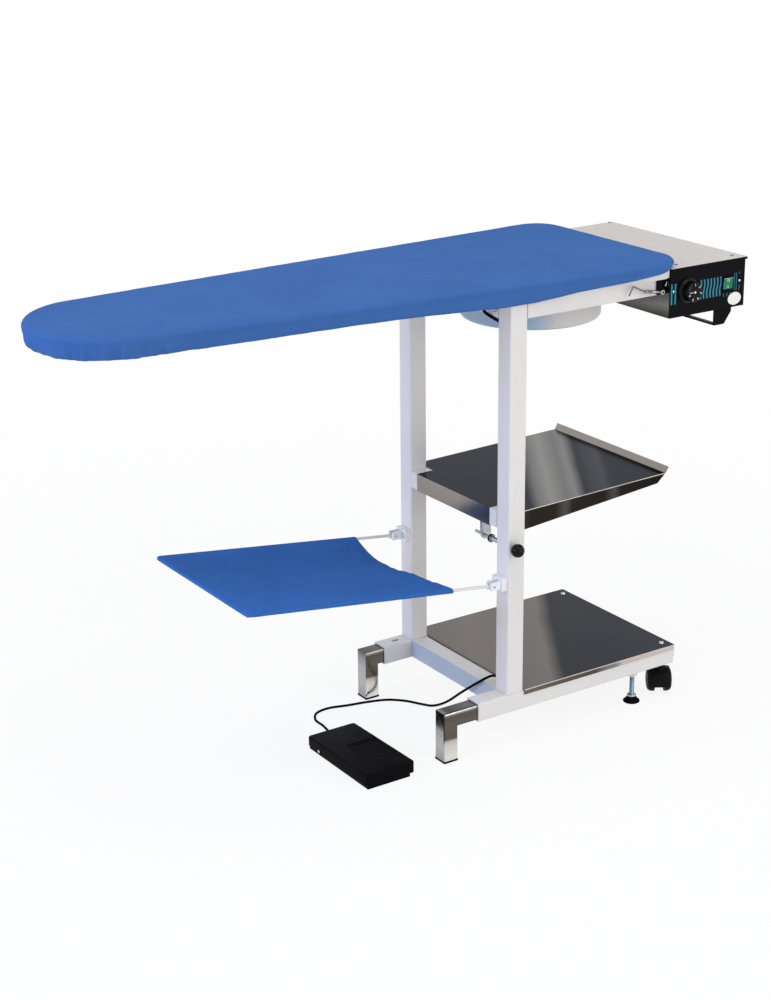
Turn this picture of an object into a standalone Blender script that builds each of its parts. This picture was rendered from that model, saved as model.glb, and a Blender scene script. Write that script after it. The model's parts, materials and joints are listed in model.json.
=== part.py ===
# Ironing table with a heated suction board, clothes rack, iron shelf, control box and foot pedal.
# Metres, +Z up. The table is laid out from the lower front corner of the front post:
# x runs along the board towards the control box, y runs to the back, z = 0 is the floor.
# The empty "Table" then moves the layout so that the origin lies under the middle of the part.

import math

import bmesh
import bpy
from mathutils import Matrix, Vector

# Clearances shared by all pieces
gap = 0.0003            # between touching pieces
slack = 0.0004          # round a moving shaft
overrun = 0.002         # how far a cutter runs past a face

# Frame of square tube
tube = 0.038
tubeWall = 0.003
tubeRound = 0.003
innerShare = 0.25       # rounding inside a tube, as a share of the outer rounding
frameDepth = 0.3615
railBottom = 0.068
railStub = 0.0664
railRun = 0.4178
armBottom = 0.8385
armBeforeBox = 0.0144
stopSlotLength = 0.016
stopSlotWidth = 0.007
stopSlotFromEnd = 0.030

# Telescoping legs
legSize = 0.0313
legWall = 0.002
legLength = 0.142
frontLegReach = 0.077
backLegReach = 0.0443
legRound = 0.003
capHeight = 0.004
capSpigot = 0.010

# Levelling feet
footFromCaster = 0.073
footRadius = 0.0168
footRim = 0.003
footConeHeight = 0.0165
footNeck = 0.0094
footWasher = 0.003
footStem = 0.0049
footStemInRail = 0.021
footNutHeight = 0.0115
footNutRadius = 0.0098

# Twin wheel casters
casterFromEnd = 0.0178
casterTurn = math.radians(33)
casterTrail = 0.012
casterWidth = 0.050
wheelRadius = 0.025
wheelWidth = 0.0152
wheelSide = 0.0008
wheelDome = 0.0022
wheelDomeShares = (0.55, 0.9)
wheelEdgeShare = 1.5
axleRadius = 0.003
hoodGap = 0.0009
hoodWall = 0.0019
hoodFrom = math.radians(72)
hoodTo = math.radians(211)
webFrom = math.radians(-8)
casterCollar = 0.0062
casterPin = 0.0045
casterPinTop = 0.018

# Steel sheets
sheet = 0.0015
foldRelief = 0.0025

# Lower shelf
lowerFrontFlange = 0.010
lowerEndFlange = 0.025
shelfScrewFromEnd = 0.0165
shelfScrewFromSide = 0.0205
screwRadius = 0.0052
screwHeight = 0.0026
screwDomeShares = (0.86, 0.7)

# Iron shelf between the posts
shelfTop = 0.469
shelfTilt = math.radians(1.3)
shelfRun = 0.385
shelfFront = 0.006
shelfPostSlack = 0.0022
shelfNotch = 0.0606
shelfDrop = 0.035
apronHigh = 0.037
apronLow = 0.017
apronSlant = 0.020
lipRise = 0.012
lipLean = 0.007

# Brackets that carry the iron shelf
bracketHeight = 0.033
hingeX = 0.036
hingeDrop = 0.037
hingePin = 0.003
hingePinReach = 0.0065
earHalf = 0.0072
earGap = 0.0015
earThick = 0.002

# Index plunger of the iron shelf
plungerX = 0.010
plungerDrop = 0.065
plungerRod = 0.003
plungerBall = 0.013
plungerBallNeck = 0.006
sleeveRadius = 0.0047
sleeveLength = 0.027
collarRadius = 0.0078
collarThick = 0.004
lugY = 0.0875
lugThick = 0.005
lugWidth = 0.022
lugBelow = 0.008
lugPinReach = 0.0245

# Clothes rack
rackRod = 0.003
rackSide = 0.015
rackZ = 0.329
rackTilt = math.radians(7.2)
rackEnd = 0.5485
rackPivot = 0.026
rackPin = 0.0016
rackBend = 0.012
rackClipBase = 0.012
rackClipReach = 0.034
rackClipSide = 0.0032
rackClipWidth = 0.0318
rackClipHeight = 0.0245
rackClipLow = 0.0115
rackEarWall = 0.0042
rackEarGap = 0.0012
rackWindowWidth = 0.010
rackWindowHeight = 0.012
rackWindowDepth = 0.004

# Cloth of the rack
clothStart = 0.118
clothThick = 0.0016
clothSkirt = 0.0046
clothSleeve = 0.0095
clothSagEdge = 0.017
clothSagMiddle = 0.006
clothWave = 0.0025
clothRows = 14
clothColumns = 16

# Board
boardHalf = 0.196
boardTaper = 0.0697
boardDrift = 0.018
boardRight = 0.372
boardCorner = 0.045
noseTip = 0.838
noseLength = 0.138
nosePower = 1.8
noseSteps = 9
cornerSteps = 5
sideSteps = 9
boardEndShares = (0.5, 0)

# Tray, plate, heating element and pad under the cover
traySide = 0.0255
trayInset = 0.0125
plateSheet = 0.0015
padInset = 0.0012
padThick = 0.007
coverThick = 0.002
coverRound = 0.010
coverSide = 0.0272
hemTuck = 0.009
hemLift = 0.0006
hemNoseDrop = 0.0477
hemMiddleDrop = 0.0387
hemPostDrop = 0.0361
hemArmDrop = 0.0297
hemMiddleX = 0.300
hemPostX = 0.130
hemArmX = 0.262
suctionHole = 0.060
elementRadius = 0.004
elementEdge = 0.045
elementFromBox = 0.1064
elementFromTip = 0.138
elementSpacing = 0.034
elementShares = (-1.5, -0.5, 0.5, 1.5)

# Fan under the tray
drumX = 0.181
drumRadius = 0.135
drumDepth = 0.0855
drumWall = 0.0015
drumChamfer = 0.007
ventRadius = 0.011
ventCircle = 0.088
ventCount = 8
motorRadius = 0.036
motorHeight = 0.034
fanRadius = 0.108
fanHub = 0.030
fanHeight = 0.022
fanLift = 0.012
fanShaft = 0.004
fanBlades = 9
bladeLagShares = (0, 0.75, 0.95, 0.35)

# Control box
boxLeft = 0.3564
boxWidth = 0.1869
boxFront = 0.0193
boxDepth = 0.400
boxBelowArms = 0.0812
boxHeight = 0.0961
panelThick = 0.002
lidLip = 0.006
lidOverhang = 0.0015

# Thermostat knob
knobFromLeft = 0.0432
controlDrop = 0.0474
knobSkirt = 0.024
knobSkirtThick = 0.003
knobShoulder = 0.0015
knobGrip = 0.0186
knobHeight = 0.0213
knobEdge = 0.0014
knobShaft = 0.003
knobShaftReach = 0.022
thermostatSize = 0.036
thermostatDepth = 0.030

# Power switch
switchFromLeft = 0.1426
switchOuter = 0.026
switchBody = 0.0215
switchPocket = 0.0188
switchDepth = 0.028
switchRim = 0.0018
switchPocketDepth = 0.012
rockerWidth = 0.0182
rockerHalf = 0.0082
rockerPivotDepth = 0.003
rockerRise = 0.0052
rockerDip = 0.0036
rockerBack = 0.0042
rockerTipShare = 0.62

# Carrying handle under the box
handleFromRight = 0.0028
handleTopWidth = 0.0425
handleFootWidth = 0.025
handleSide = 0.0172
handleDrop = 0.0405
handleSheet = 0.004
handleBar = 0.0088
handleY = 0.0107
handleLength = 0.115

# Draw latch on the front arm
latchBlockWidth = 0.0184
latchBlockRise = 0.0025
latchBlockHeight = 0.0265
latchBlockDepth = 0.006
latchPivotIn = 0.0075
latchPivotRise = 0.008
latchPin = 0.002
latchEye = 0.0046
latchEyeThick = 0.006
latchBarrel = 0.0031
latchBarrelLength = 0.043
latchBarrelRise = 0.0065
latchWire = 0.0015
latchWireStep = 0.028
latchWireRise = 0.0135
latchHookStep = 0.0095
latchHookDrop = 0.0165

# Bolt and lead at the top of the front post
boltY = 0.047
boltDrop = 0.0225
boltRadius = 0.0062
boltHeight = 0.0075
boltDomeShare = 0.92
leadRadius = 0.003
leadX = 0.013
leadOut = 0.010
leadStartY = 0.062
leadEndDrop = 0.05
leadBulge = 0.005
leadTurnShare = 0.4

# Foot pedal
pedalLeft = 0.3215
pedalWidth = 0.1065
pedalFront = -0.004
pedalLength = 0.212
pedalFrontTop = 0.031
pedalBackTop = 0.027
pedalSkirt = 0.006
pedalWall = 0.002
pedalClear = 0.0012
pedalBaseHeight = 0.016
pedalPinY = 0.165
pedalPinZ = 0.0085
pedalPin = 0.0019
pedalSwitchY = 0.052
pedalSwitchWidth = 0.016
pedalSwitchLength = 0.026
pedalSwitchHeight = 0.017
glandRight = 0.0595
glandZ = 0.010
glandRadius = 0.005
glandReach = 0.006
glandSlot = 0.0015

# Pedal cord and the grommet where it enters the front post
cordRadius = 0.0025
cordStep = 0.0125
grommetX = 0.012
grommetZ = 0.126
grommetRadius = 0.0068
grommetThick = 0.003
grommetHole = 0.0046
grommetEdgeShare = 0.75
grommetBoreShare = 0.6
cordRoute = [
    (-0.2540, 0.2420, 0.0052), (-0.2475, 0.2720, 0.0028), (-0.2460, 0.3020, 0.0027),
    (-0.2280, 0.3270, 0.0027), (-0.1960, 0.3330, 0.0027), (-0.1580, 0.3225, 0.0027),
    (-0.1160, 0.3130, 0.0027), (-0.0780, 0.2990, 0.0027), (-0.0500, 0.2730, 0.0027),
    (-0.0340, 0.2430, 0.0034), (-0.0270, 0.2090, 0.0110), (-0.0220, 0.1700, 0.0330),
    (-0.0160, 0.1280, 0.0680), (-0.0070, 0.0880, 0.1010), (0.0060, 0.0620, 0.1220),
]

# Sizes that follow
railTop = railBottom + tube
armTop = armBottom + tube
trayBottom = armTop + gap
rimTop = trayBottom + traySide
plateTop = rimTop + gap + plateSheet
padLow = plateTop + gap
padTop = padLow + padThick
boardTop = padTop + gap + coverThick
drumBottom = armTop - drumDepth
boxBottom = armTop - boxBelowArms
latchBlockBottom = armBottom + latchBlockRise
latchPivotZ = armBottom + latchPivotRise
boltZ = armTop - boltDrop
leadEndZ = armTop - leadEndDrop
midY = frameDepth / 2
boxRight = boxLeft + boxWidth
armRun = boxLeft - armBeforeBox
casterX = railRun - casterFromEnd
footX = casterX - footFromCaster
footStemTop = railBottom + footStemInRail
hingeZ = shelfTop - hingeDrop
plungerZ = shelfTop - plungerDrop
noseStart = noseTip - noseLength
elementFrom = boxLeft - elementFromBox
elementTo = noseTip - elementFromTip
handleX = boxRight - handleFromRight - handleTopWidth
latchBlockLeft = boxLeft - latchBlockWidth
latchPivotX = latchBlockLeft + latchPivotIn
boxTop = boxBottom + boxHeight
lidRight = boxRight + lidOverhang
panelFace = -boxFront

for thing in list(bpy.data.objects):
    bpy.data.objects.remove(thing, do_unlink=True)


# Materials

def paint(name, colour, roughness, metallic=0):
    look = bpy.data.materials.new(name)
    look.use_nodes = True
    shader = look.node_tree.nodes["Principled BSDF"]
    shader.inputs["Base Color"].default_value = (*colour, 1)
    shader.inputs["Roughness"].default_value = roughness
    shader.inputs["Metallic"].default_value = metallic
    return look


whitePaint = paint("White_paint", (0.64, 0.62, 0.62), 0.45)
trayPaint = paint("Tray_paint", (0.72, 0.70, 0.69), 0.5)
chrome = paint("Chrome", (0.62, 0.61, 0.60), 0.12, 1)
brushedSteel = paint("Brushed_steel", (0.36, 0.35, 0.35), 0.35, 1)
zincSteel = paint("Zinc_steel", (0.55, 0.58, 0.60), 0.3, 1)
blackPlastic = paint("Black_plastic", (0.012, 0.012, 0.014), 0.4)
blackRubber = paint("Black_rubber", (0.02, 0.02, 0.02), 0.8)
blackPanel = paint("Black_panel", (0.01, 0.01, 0.012), 0.35)
clearPlastic = paint("Milky_plastic", (0.75, 0.76, 0.78), 0.3)
lidSteel = paint("Lid_steel", (0.60, 0.57, 0.55), 0.5, 0.3)
coverBlue = paint("Cover_blue", (0.06, 0.15, 0.45), 0.85)
rackBlue = paint("Rack_blue", (0.04, 0.12, 0.38), 0.9)
feltGrey = paint("Felt_grey", (0.45, 0.45, 0.43), 1)
switchGreen = paint("Switch_green", (0.0, 0.22, 0.10), 0.3)

# The whole table hangs on one empty
table = bpy.data.objects.new("Table", None)
bpy.context.scene.collection.objects.link(table)


# Helpers

def pivotEmpty(name, place, parent=table):
    empty = bpy.data.objects.new(name, None)
    bpy.context.scene.collection.objects.link(empty)
    empty.parent = parent
    empty.location = place
    return empty


def addBox(bm, a, b):
    low = Vector([min(pair) for pair in zip(a, b)])
    high = Vector([max(pair) for pair in zip(a, b)])
    size = high - low
    place = Matrix.Translation((low + high) / 2) @ Matrix.Diagonal((size.x, size.y, size.z, 1))
    bmesh.ops.create_cube(bm, size=1, matrix=place)


def addRings(bm, rings, joined=False):
    rows = [[bm.verts.new(point) for point in ring] for ring in rings]
    pairs = list(zip(rows, rows[1:]))
    if joined:
        pairs.append((rows[-1], rows[0]))
    for lower, upper in pairs:
        count = len(lower)
        for i in range(count):
            j = (i + 1) % count
            bm.faces.new((lower[i], lower[j], upper[j], upper[i]))
    if not joined:
        bm.faces.new(rows[0])
        bm.faces.new(rows[-1])


def addTurned(bm, base, axis, profile, steps, joined=False):
    axis = Vector(axis).normalized()
    side = axis.orthogonal().normalized()
    other = axis.cross(side)
    base = Vector(base)
    rows = []
    for radius, height in profile:
        centre = base + axis * height
        if radius == 0:
            rows.append([bm.verts.new(centre)])
            continue
        ring = []
        for i in range(steps):
            angle = math.tau * (i + 0.5) / steps
            ring.append(bm.verts.new(centre + (side * math.cos(angle) + other * math.sin(angle)) * radius))
        rows.append(ring)
    pairs = list(zip(rows, rows[1:]))
    if joined:
        pairs.append((rows[-1], rows[0]))
    for lower, upper in pairs:
        for i in range(steps):
            j = (i + 1) % steps
            if len(lower) == 1:
                bm.faces.new((lower[0], upper[j], upper[i]))
            elif len(upper) == 1:
                bm.faces.new((lower[i], lower[j], upper[0]))
            else:
                bm.faces.new((lower[i], lower[j], upper[j], upper[i]))
    if not joined:
        for row in (rows[0], rows[-1]):
            if len(row) > 1:
                bm.faces.new(row)


def addRod(bm, start, end, radius, steps):
    start, end = Vector(start), Vector(end)
    addTurned(bm, start, end - start, [(radius, 0), (radius, (end - start).length)], steps)


def addPrism(bm, outline, axis, low, high):
    def place(point, along):
        if axis == "X":
            return (along, point[0], point[1])
        if axis == "Y":
            return (point[0], along, point[1])
        return (point[0], point[1], along)
    addRings(bm, [[place(point, low) for point in outline], [place(point, high) for point in outline]])


def squareLoop(half, corner):
    # Points round a square with rounded corners
    points = []
    for quarter in range(4):
        for part in (0, 0.5, 1):
            a = math.pi / 2 * (quarter + part)
            middle = math.pi / 2 * quarter + math.pi / 4
            points.append(((half - corner) * math.copysign(1, math.cos(middle)) + corner * math.cos(a),
                           (half - corner) * math.copysign(1, math.sin(middle)) + corner * math.sin(a)))
    return points


def addSquareTube(bm, path, across, size, wall, corner):
    # Mitred square tube, open at both ends
    path = [Vector(point) for point in path]
    across = Vector(across)
    rings = []
    for half, turn in ((size / 2, corner), (size / 2 - wall, corner * innerShare)):
        loops = []
        for i, point in enumerate(path):
            before = (point - path[i - 1]).normalized() if i else None
            after = (path[i + 1] - point).normalized() if i + 1 < len(path) else None
            ahead = before or after
            behind = after or before
            normal = (across.cross(ahead) + across.cross(behind)).normalized()
            normal = normal / normal.dot(across.cross(ahead))
            loops.append([point + across * s + normal * t for s, t in squareLoop(half, turn)])
        rings.append(loops)
    addRings(bm, rings[0] + rings[1][::-1], joined=True)


def addTubeAlong(bm, path, radius, steps):
    # Round tube along a list of points, each ring turned with the path
    path = [Vector(point) for point in path]
    rings = []
    side = None
    for i, point in enumerate(path):
        ahead = (path[min(i + 1, len(path) - 1)] - path[max(i - 1, 0)]).normalized()
        if side is None:
            side = ahead.orthogonal().normalized()
        side = (side - ahead * side.dot(ahead)).normalized()
        other = ahead.cross(side)
        rings.append([point + (side * math.cos(math.tau * k / steps)
                               + other * math.sin(math.tau * k / steps)) * radius
                      for k in range(steps)])
    addRings(bm, rings)


def addSheetFold(bm, outline, height, folds):
    # Flat sheet with folded edges: folds maps an edge number to the two outer points of its flange
    top = [bm.verts.new((x, y, height)) for x, y in outline]
    bm.faces.new(top)
    for edge, (first, second) in folds.items():
        a, b = top[edge], top[(edge + 1) % len(top)]
        bm.faces.new((b, a, bm.verts.new(first), bm.verts.new(second)))


def smoothPath(points, step):
    # Points at an even step along a smooth curve through the route
    points = [Vector(point) for point in points]
    ends = [points[0] * 2 - points[1]] + points + [points[-1] * 2 - points[-2]]
    fine = []
    for p0, p1, p2, p3 in zip(ends, ends[1:], ends[2:], ends[3:]):
        for k in range(20):
            t = k / 20
            fine.append(((p1 * 2) + (p2 - p0) * t + (p0 * 2 - p1 * 5 + p2 * 4 - p3) * t * t
                         + (p1 * 3 - p0 - p2 * 3 + p3) * t * t * t) / 2)
    fine.append(points[-1])
    lengths = [0]
    for a, b in zip(fine, fine[1:]):
        lengths.append(lengths[-1] + (b - a).length)
    count = max(2, round(lengths[-1] / step))
    even = []
    for k in range(count + 1):
        want = lengths[-1] * k / count
        i = min(len(fine) - 2, max(j for j in range(len(lengths)) if lengths[j] <= want))
        part = lengths[i + 1] - lengths[i]
        even.append(fine[i].lerp(fine[i + 1], (want - lengths[i]) / part if part else 0))
    return even


def finish(name, bm, look, pivot=(0, 0, 0), parent=table, turned=False, closed=True):
    pivot = Vector(pivot)
    for vertex in bm.verts:
        vertex.co -= pivot
    if closed:
        bmesh.ops.recalc_face_normals(bm, faces=bm.faces)
    mesh = bpy.data.meshes.new(name)
    bm.to_mesh(mesh)
    bm.free()
    piece = bpy.data.objects.new(name, mesh)
    bpy.context.scene.collection.objects.link(piece)
    piece.parent = parent
    piece.location = pivot
    if look:
        mesh.materials.append(look)
    if turned:
        mesh.shade_smooth()
        mesh.set_sharp_from_angle(angle=math.radians(35))
    return piece


def boolean(piece, cutter, operation="DIFFERENCE"):
    cutter.hide_render = True
    cutter.display_type = "WIRE"
    step = piece.modifiers.new(cutter.name, "BOOLEAN")
    step.operation = operation
    step.solver = "EXACT"
    step.object = cutter


def cutRod(piece, name, start, end, radius, parent=table, steps=16):
    bm = bmesh.new()
    addRod(bm, start, end, radius, steps)
    boolean(piece, finish("cut_" + name, bm, None, parent=parent))


def cutBox(piece, name, a, b, parent=table):
    bm = bmesh.new()
    addBox(bm, a, b)
    boolean(piece, finish("cut_" + name, bm, None, parent=parent))


def bevel(piece, width, segments=2, angle=60):
    step = piece.modifiers.new("Rounded", "BEVEL")
    step.width = width
    step.segments = segments
    step.limit_method = "ANGLE"
    step.angle_limit = math.radians(angle)
    step.use_clamp_overlap = True


def thicken(piece, thickness, folded=True):
    step = piece.modifiers.new("Sheet", "SOLIDIFY")
    step.thickness = thickness
    step.offset = -1
    if folded:
        step.solidify_mode = "NON_MANIFOLD"
        step.nonmanifold_thickness_mode = "CONSTRAINTS"
        step.nonmanifold_boundary_mode = "NONE"
    else:
        step.use_even_offset = True


def sideY(side, y):
    return y if side == "Front" else frameDepth - y


sides = ("Front", "Back")


# Frame

def makeTube(name, start, end, across):
    bm = bmesh.new()
    addSquareTube(bm, [start, end], across, tube, tubeWall, tubeRound)
    return finish(name, bm, whitePaint, turned=True)


half = tube / 2
legCentre = railBottom + half
for side in sides:
    y = sideY(side, half)
    wallY = sideY(side, tube)
    post = makeTube(side + "_post", (half, y, railTop + gap), (half, y, armTop), (0, 1, 0))
    if side == "Front":
        cutRod(post, "plunger", (plungerX, -overrun, plungerZ), (plungerX, tube + overrun, plungerZ),
               plungerRod + slack)
        cutRod(post, "cord_entry", (grommetX, half, grommetZ), (grommetX, tube + overrun, grommetZ),
               grommetHole)
    arm = makeTube(side + "_arm", (tube + gap, y, armBottom + half), (armRun, y, armBottom + half),
                   (0, 1, 0))
    rail = makeTube(side + "_rail", (-railStub, y, legCentre), (railRun, y, legCentre), (0, 1, 0))
    bm = bmesh.new()
    addTurned(bm, (footX, y, railBottom - footNutHeight), (0, 0, 1),
              [(footNutRadius, 0), (footNutRadius, footNutHeight + tubeWall / 2)], 6)
    boolean(rail, finish("nut_" + side, bm, None), "UNION")
    cutRod(rail, "foot_" + side, (footX, y, railBottom - footNutHeight - overrun),
           (footX, y, legCentre), footStem + slack)
    cutRod(rail, "caster_" + side, (casterX, y, railBottom - overrun), (casterX, y, legCentre),
           casterPin + slack)
    if side == "Back":
        slotX = -railStub + stopSlotFromEnd
        cutBox(rail, "stop_slot", (slotX, y - stopSlotWidth / 2, legCentre),
               (slotX + stopSlotLength, y + stopSlotWidth / 2, railTop + overrun))

crossFrom = tube + gap
crossTo = frameDepth - tube - gap
for name, z in (("Lower_cross_tube", legCentre), ("Upper_cross_tube", armBottom + half)):
    makeTube(name, (half, crossFrom, z), (half, crossTo, z), (1, 0, 0))

# Telescoping legs with rubber caps
for side, reach in (("Front", frontLegReach), ("Back", backLegReach)):
    y = sideY(side, half)
    outer = -railStub - reach
    x = outer + legSize / 2
    bm = bmesh.new()
    addSquareTube(bm, [(outer + legLength, y, legCentre), (x, y, legCentre), (x, y, capHeight + gap)],
                  (0, 1, 0), legSize, legWall, legRound)
    finish(side + "_leg", bm, chrome, turned=True)
    bm = bmesh.new()
    rings = []
    inner = legSize / 2 - legWall - legRound * innerShare
    for size, z in ((legSize / 2, 0), (legSize / 2, capHeight),
                    (inner, capHeight), (inner, capHeight + capSpigot)):
        rings.append([(x + size * s, y + size * t, z) for s, t in ((1, 1), (-1, 1), (-1, -1), (1, -1))])
    addRings(bm, rings)
    finish(side + "_leg_cap", bm, blackRubber)

# Levelling feet
washerTop = footConeHeight + footWasher
footProfile = [(0, 0), (footRadius, 0), (footRadius, footRim), (footNeck, footConeHeight),
               (footNeck, washerTop), (footStem, washerTop), (footStem, footStemTop), (0, footStemTop)]
for side in sides:
    bm = bmesh.new()
    centre = (footX, sideY(side, half), 0)
    addTurned(bm, centre, (0, 0, 1), footProfile, 16)
    finish(side + "_levelling_foot", bm, zincSteel, centre, turned=True)


# Casters

def addArc(bm, centreY, centreZ, inner, outer, first, last, steps, width):
    angles = [first + (last - first) * i / steps for i in range(steps + 1)]
    outline = [(centreY + outer * math.cos(a), centreZ + outer * math.sin(a)) for a in angles]
    if inner:
        outline += [(centreY + inner * math.cos(a), centreZ + inner * math.sin(a)) for a in angles[::-1]]
    addPrism(bm, outline, "X", -width / 2, width / 2)


webWidth = casterWidth - 2 * (wheelWidth + wheelSide)
hoodInner = wheelRadius + hoodGap
hoodOuter = hoodInner + hoodWall
for side in sides:
    swivel = pivotEmpty(side + "_caster_swivel", (casterX, sideY(side, half), 0))
    swivel.rotation_euler = (0, 0, -casterTurn)
    bm = bmesh.new()
    addArc(bm, casterTrail, wheelRadius, 0, (hoodInner + hoodOuter) / 2, webFrom, hoodTo, 18, webWidth)
    body = finish(side + "_caster_body", bm, blackPlastic, parent=swivel, turned=True)
    bm = bmesh.new()
    addArc(bm, casterTrail, wheelRadius, hoodInner, hoodOuter, hoodFrom, hoodTo, 12,
           casterWidth - 2 * wheelDome)
    boolean(body, finish("hood_" + side, bm, None, parent=swivel), "UNION")
    bm = bmesh.new()
    pinBase = railBottom - gap
    addTurned(bm, (0, 0, wheelRadius + casterTrail), (0, 0, 1),
              [(casterCollar, 0), (casterCollar, pinBase - wheelRadius - casterTrail),
               (casterPin, pinBase - wheelRadius - casterTrail),
               (casterPin, pinBase - wheelRadius - casterTrail + casterPinTop)], 16)
    boolean(body, finish("stem_" + side, bm, None, parent=swivel), "UNION")
    cutRod(body, "axle_" + side, (-casterWidth, casterTrail, wheelRadius),
           (casterWidth, casterTrail, wheelRadius), axleRadius + slack, swivel)
    bm = bmesh.new()
    out = casterWidth / 2
    face = out - wheelWidth
    hub, rim = [wheelRadius * share for share in wheelDomeShares]
    tread = out - wheelDome * wheelEdgeShare
    addTurned(bm, (0, casterTrail, wheelRadius), (1, 0, 0),
              [(0, -out + wheelDome), (hub, -out), (rim, -out + wheelDome / 2),
               (wheelRadius, -tread), (wheelRadius, -face), (axleRadius, -face),
               (axleRadius, face), (wheelRadius, face), (wheelRadius, tread),
               (rim, out - wheelDome / 2), (hub, out), (0, out - wheelDome)], 24)
    finish(side + "_caster_wheels", bm, blackPlastic, (0, casterTrail, wheelRadius), swivel, turned=True)

# Lower shelf, a folded steel sheet on the rails
lowerTop = railTop + gap + sheet
left = tube + shelfPostSlack
right = railRun + gap + sheet
near = -gap - sheet
far = frameDepth + gap + sheet
cut = foldRelief
outline = [(left, near), (right - cut, near), (right, near + cut), (right, far - cut), (right - cut, far),
           (left, far)]
bm = bmesh.new()
addSheetFold(bm, outline, lowerTop, {
    0: ((left, near, lowerTop - lowerFrontFlange), (right - cut, near, lowerTop - lowerFrontFlange)),
    2: ((right, near + cut, lowerTop - lowerEndFlange), (right, far - cut, lowerTop - lowerEndFlange)),
    4: ((right - cut, far, lowerTop - lowerFrontFlange), (left, far, lowerTop - lowerFrontFlange)),
})
lowerShelf = finish("Lower_shelf", bm, brushedSteel, closed=False)
thicken(lowerShelf, sheet)
for side in sides:
    bm = bmesh.new()
    addTurned(bm, (right - shelfScrewFromEnd, sideY(side, shelfScrewFromSide), lowerTop + gap), (0, 0, 1),
              [(0, 0), (screwRadius, 0),
               (screwRadius * screwDomeShares[0], screwHeight * screwDomeShares[1]), (0, screwHeight)], 12)
    finish(side + "_shelf_screw", bm, zincSteel, turned=True)

# Iron shelf, a folded sheet that tilts a little and swings on two ears
shelfHinge = Vector((hingeX, midY, hingeZ))
shelfHeight = shelfTop - hingeZ + hingeX * math.tan(shelfTilt)
tilt = pivotEmpty("Iron_shelf_hinge", shelfHinge)
tilt.rotation_euler = (0, -shelfTilt, 0)
shelfLeft = -hingeX
notchX = tube + shelfPostSlack - hingeX
shelfRight = shelfRun - hingeX
near = shelfFront - midY
notchNear = shelfNotch - midY
outline = [(shelfLeft, notchNear), (notchX, notchNear), (notchX, near), (shelfRight, near),
           (shelfRight, -near), (notchX, -near), (notchX, -notchNear), (shelfLeft, -notchNear)]
apronTop = shelfHeight - apronHigh
apronEnd = shelfHeight - apronLow
lipTop = shelfHeight + lipRise
flangeEnd = shelfHeight - shelfDrop
bm = bmesh.new()
addSheetFold(bm, outline, shelfHeight, {
    2: ((notchX, near, apronTop), (shelfRight - apronSlant, near, apronEnd)),
    3: ((shelfRight + lipLean, near, lipTop), (shelfRight + lipLean, -near, lipTop)),
    4: ((shelfRight - apronSlant, -near, apronEnd), (notchX, -near, apronTop)),
    7: ((shelfLeft, -notchNear, flangeEnd), (shelfLeft, notchNear, flangeEnd)),
})
ironShelf = finish("Iron_shelf", bm, brushedSteel, parent=tilt, closed=False)
thicken(ironShelf, sheet)
earTop = shelfTop - sheet / 2 + hingeX * math.tan(shelfTilt)
for side in sides:
    low = sideY(side, shelfNotch + earGap)
    high = sideY(side, shelfNotch + earGap + earThick)
    outline = [(hingeX - earHalf, earTop), (hingeX - earHalf, hingeZ)]
    outline += [(hingeX - earHalf * math.cos(math.pi * i / 6), hingeZ - earHalf * math.sin(math.pi * i / 6))
                for i in range(1, 6)]
    outline += [(hingeX + earHalf, hingeZ), (hingeX + earHalf, earTop)]
    bm = bmesh.new()
    addPrism(bm, outline, "Y", low, high)
    boolean(ironShelf, finish("shelf_ear_" + side, bm, None), "UNION")
    cutRod(ironShelf, "shelf_hinge_" + side, (hingeX, sideY(side, shelfNotch - overrun), hingeZ),
           (hingeX, sideY(side, shelfNotch + earGap + earThick + overrun), hingeZ), hingePin + slack,
           steps=12)

# Lug under the iron shelf, with a stud
bm = bmesh.new()
arcSteps = 8
lugTop = shelfTop - sheet - gap
lugLeft = sheet + gap
lugRight = lugLeft + lugWidth
lugHalf = lugWidth / 2
lugMiddle = lugLeft + lugHalf
lugArcZ = plungerZ - lugBelow + lugHalf
outline = [(lugRight, lugTop), (lugLeft, lugTop)]
outline += [(lugMiddle - lugHalf * math.cos(math.pi * i / arcSteps),
             lugArcZ - lugHalf * math.sin(math.pi * i / arcSteps)) for i in range(arcSteps + 1)]
addPrism(bm, outline, "Y", lugY, lugY + lugThick)
lug = finish("Shelf_lug", bm, zincSteel, shelfHinge)
bm = bmesh.new()
addRod(bm, (plungerX, lugY + lugThick / 2, plungerZ), (plungerX, lugY + lugThick + lugPinReach, plungerZ),
       plungerRod, 12)
boolean(lug, finish("lug_pin", bm, None), "UNION")
cutRod(lug, "lug_hole", (plungerX, lugY - overrun, plungerZ), (plungerX, lugY + lugThick / 3, plungerZ),
       plungerRod + slack, steps=12)

# Brackets that carry the iron shelf, each with a hinge pin
for side in sides:
    toward = 1 if side == "Front" else -1
    base = sideY(side, tube) + gap * toward
    tip = sideY(side, shelfNotch - gap)
    bm = bmesh.new()
    addBox(bm, (0, base, shelfTop - bracketHeight), (tube, tip, shelfTop))
    bracket = finish(side + "_shelf_bracket", bm, whitePaint)
    bm = bmesh.new()
    addBox(bm, (hingeX - earHalf, base, hingeZ - earHalf),
           (hingeX + earHalf, tip, shelfTop - bracketHeight + overrun))
    boolean(bracket, finish("bracket_ear_" + side, bm, None), "UNION")
    bm = bmesh.new()
    addRod(bm, (hingeX, tip - overrun * toward, hingeZ), (hingeX, tip + hingePinReach * toward, hingeZ),
           hingePin, 12)
    boolean(bracket, finish("pin_" + side, bm, None), "UNION")

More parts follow.
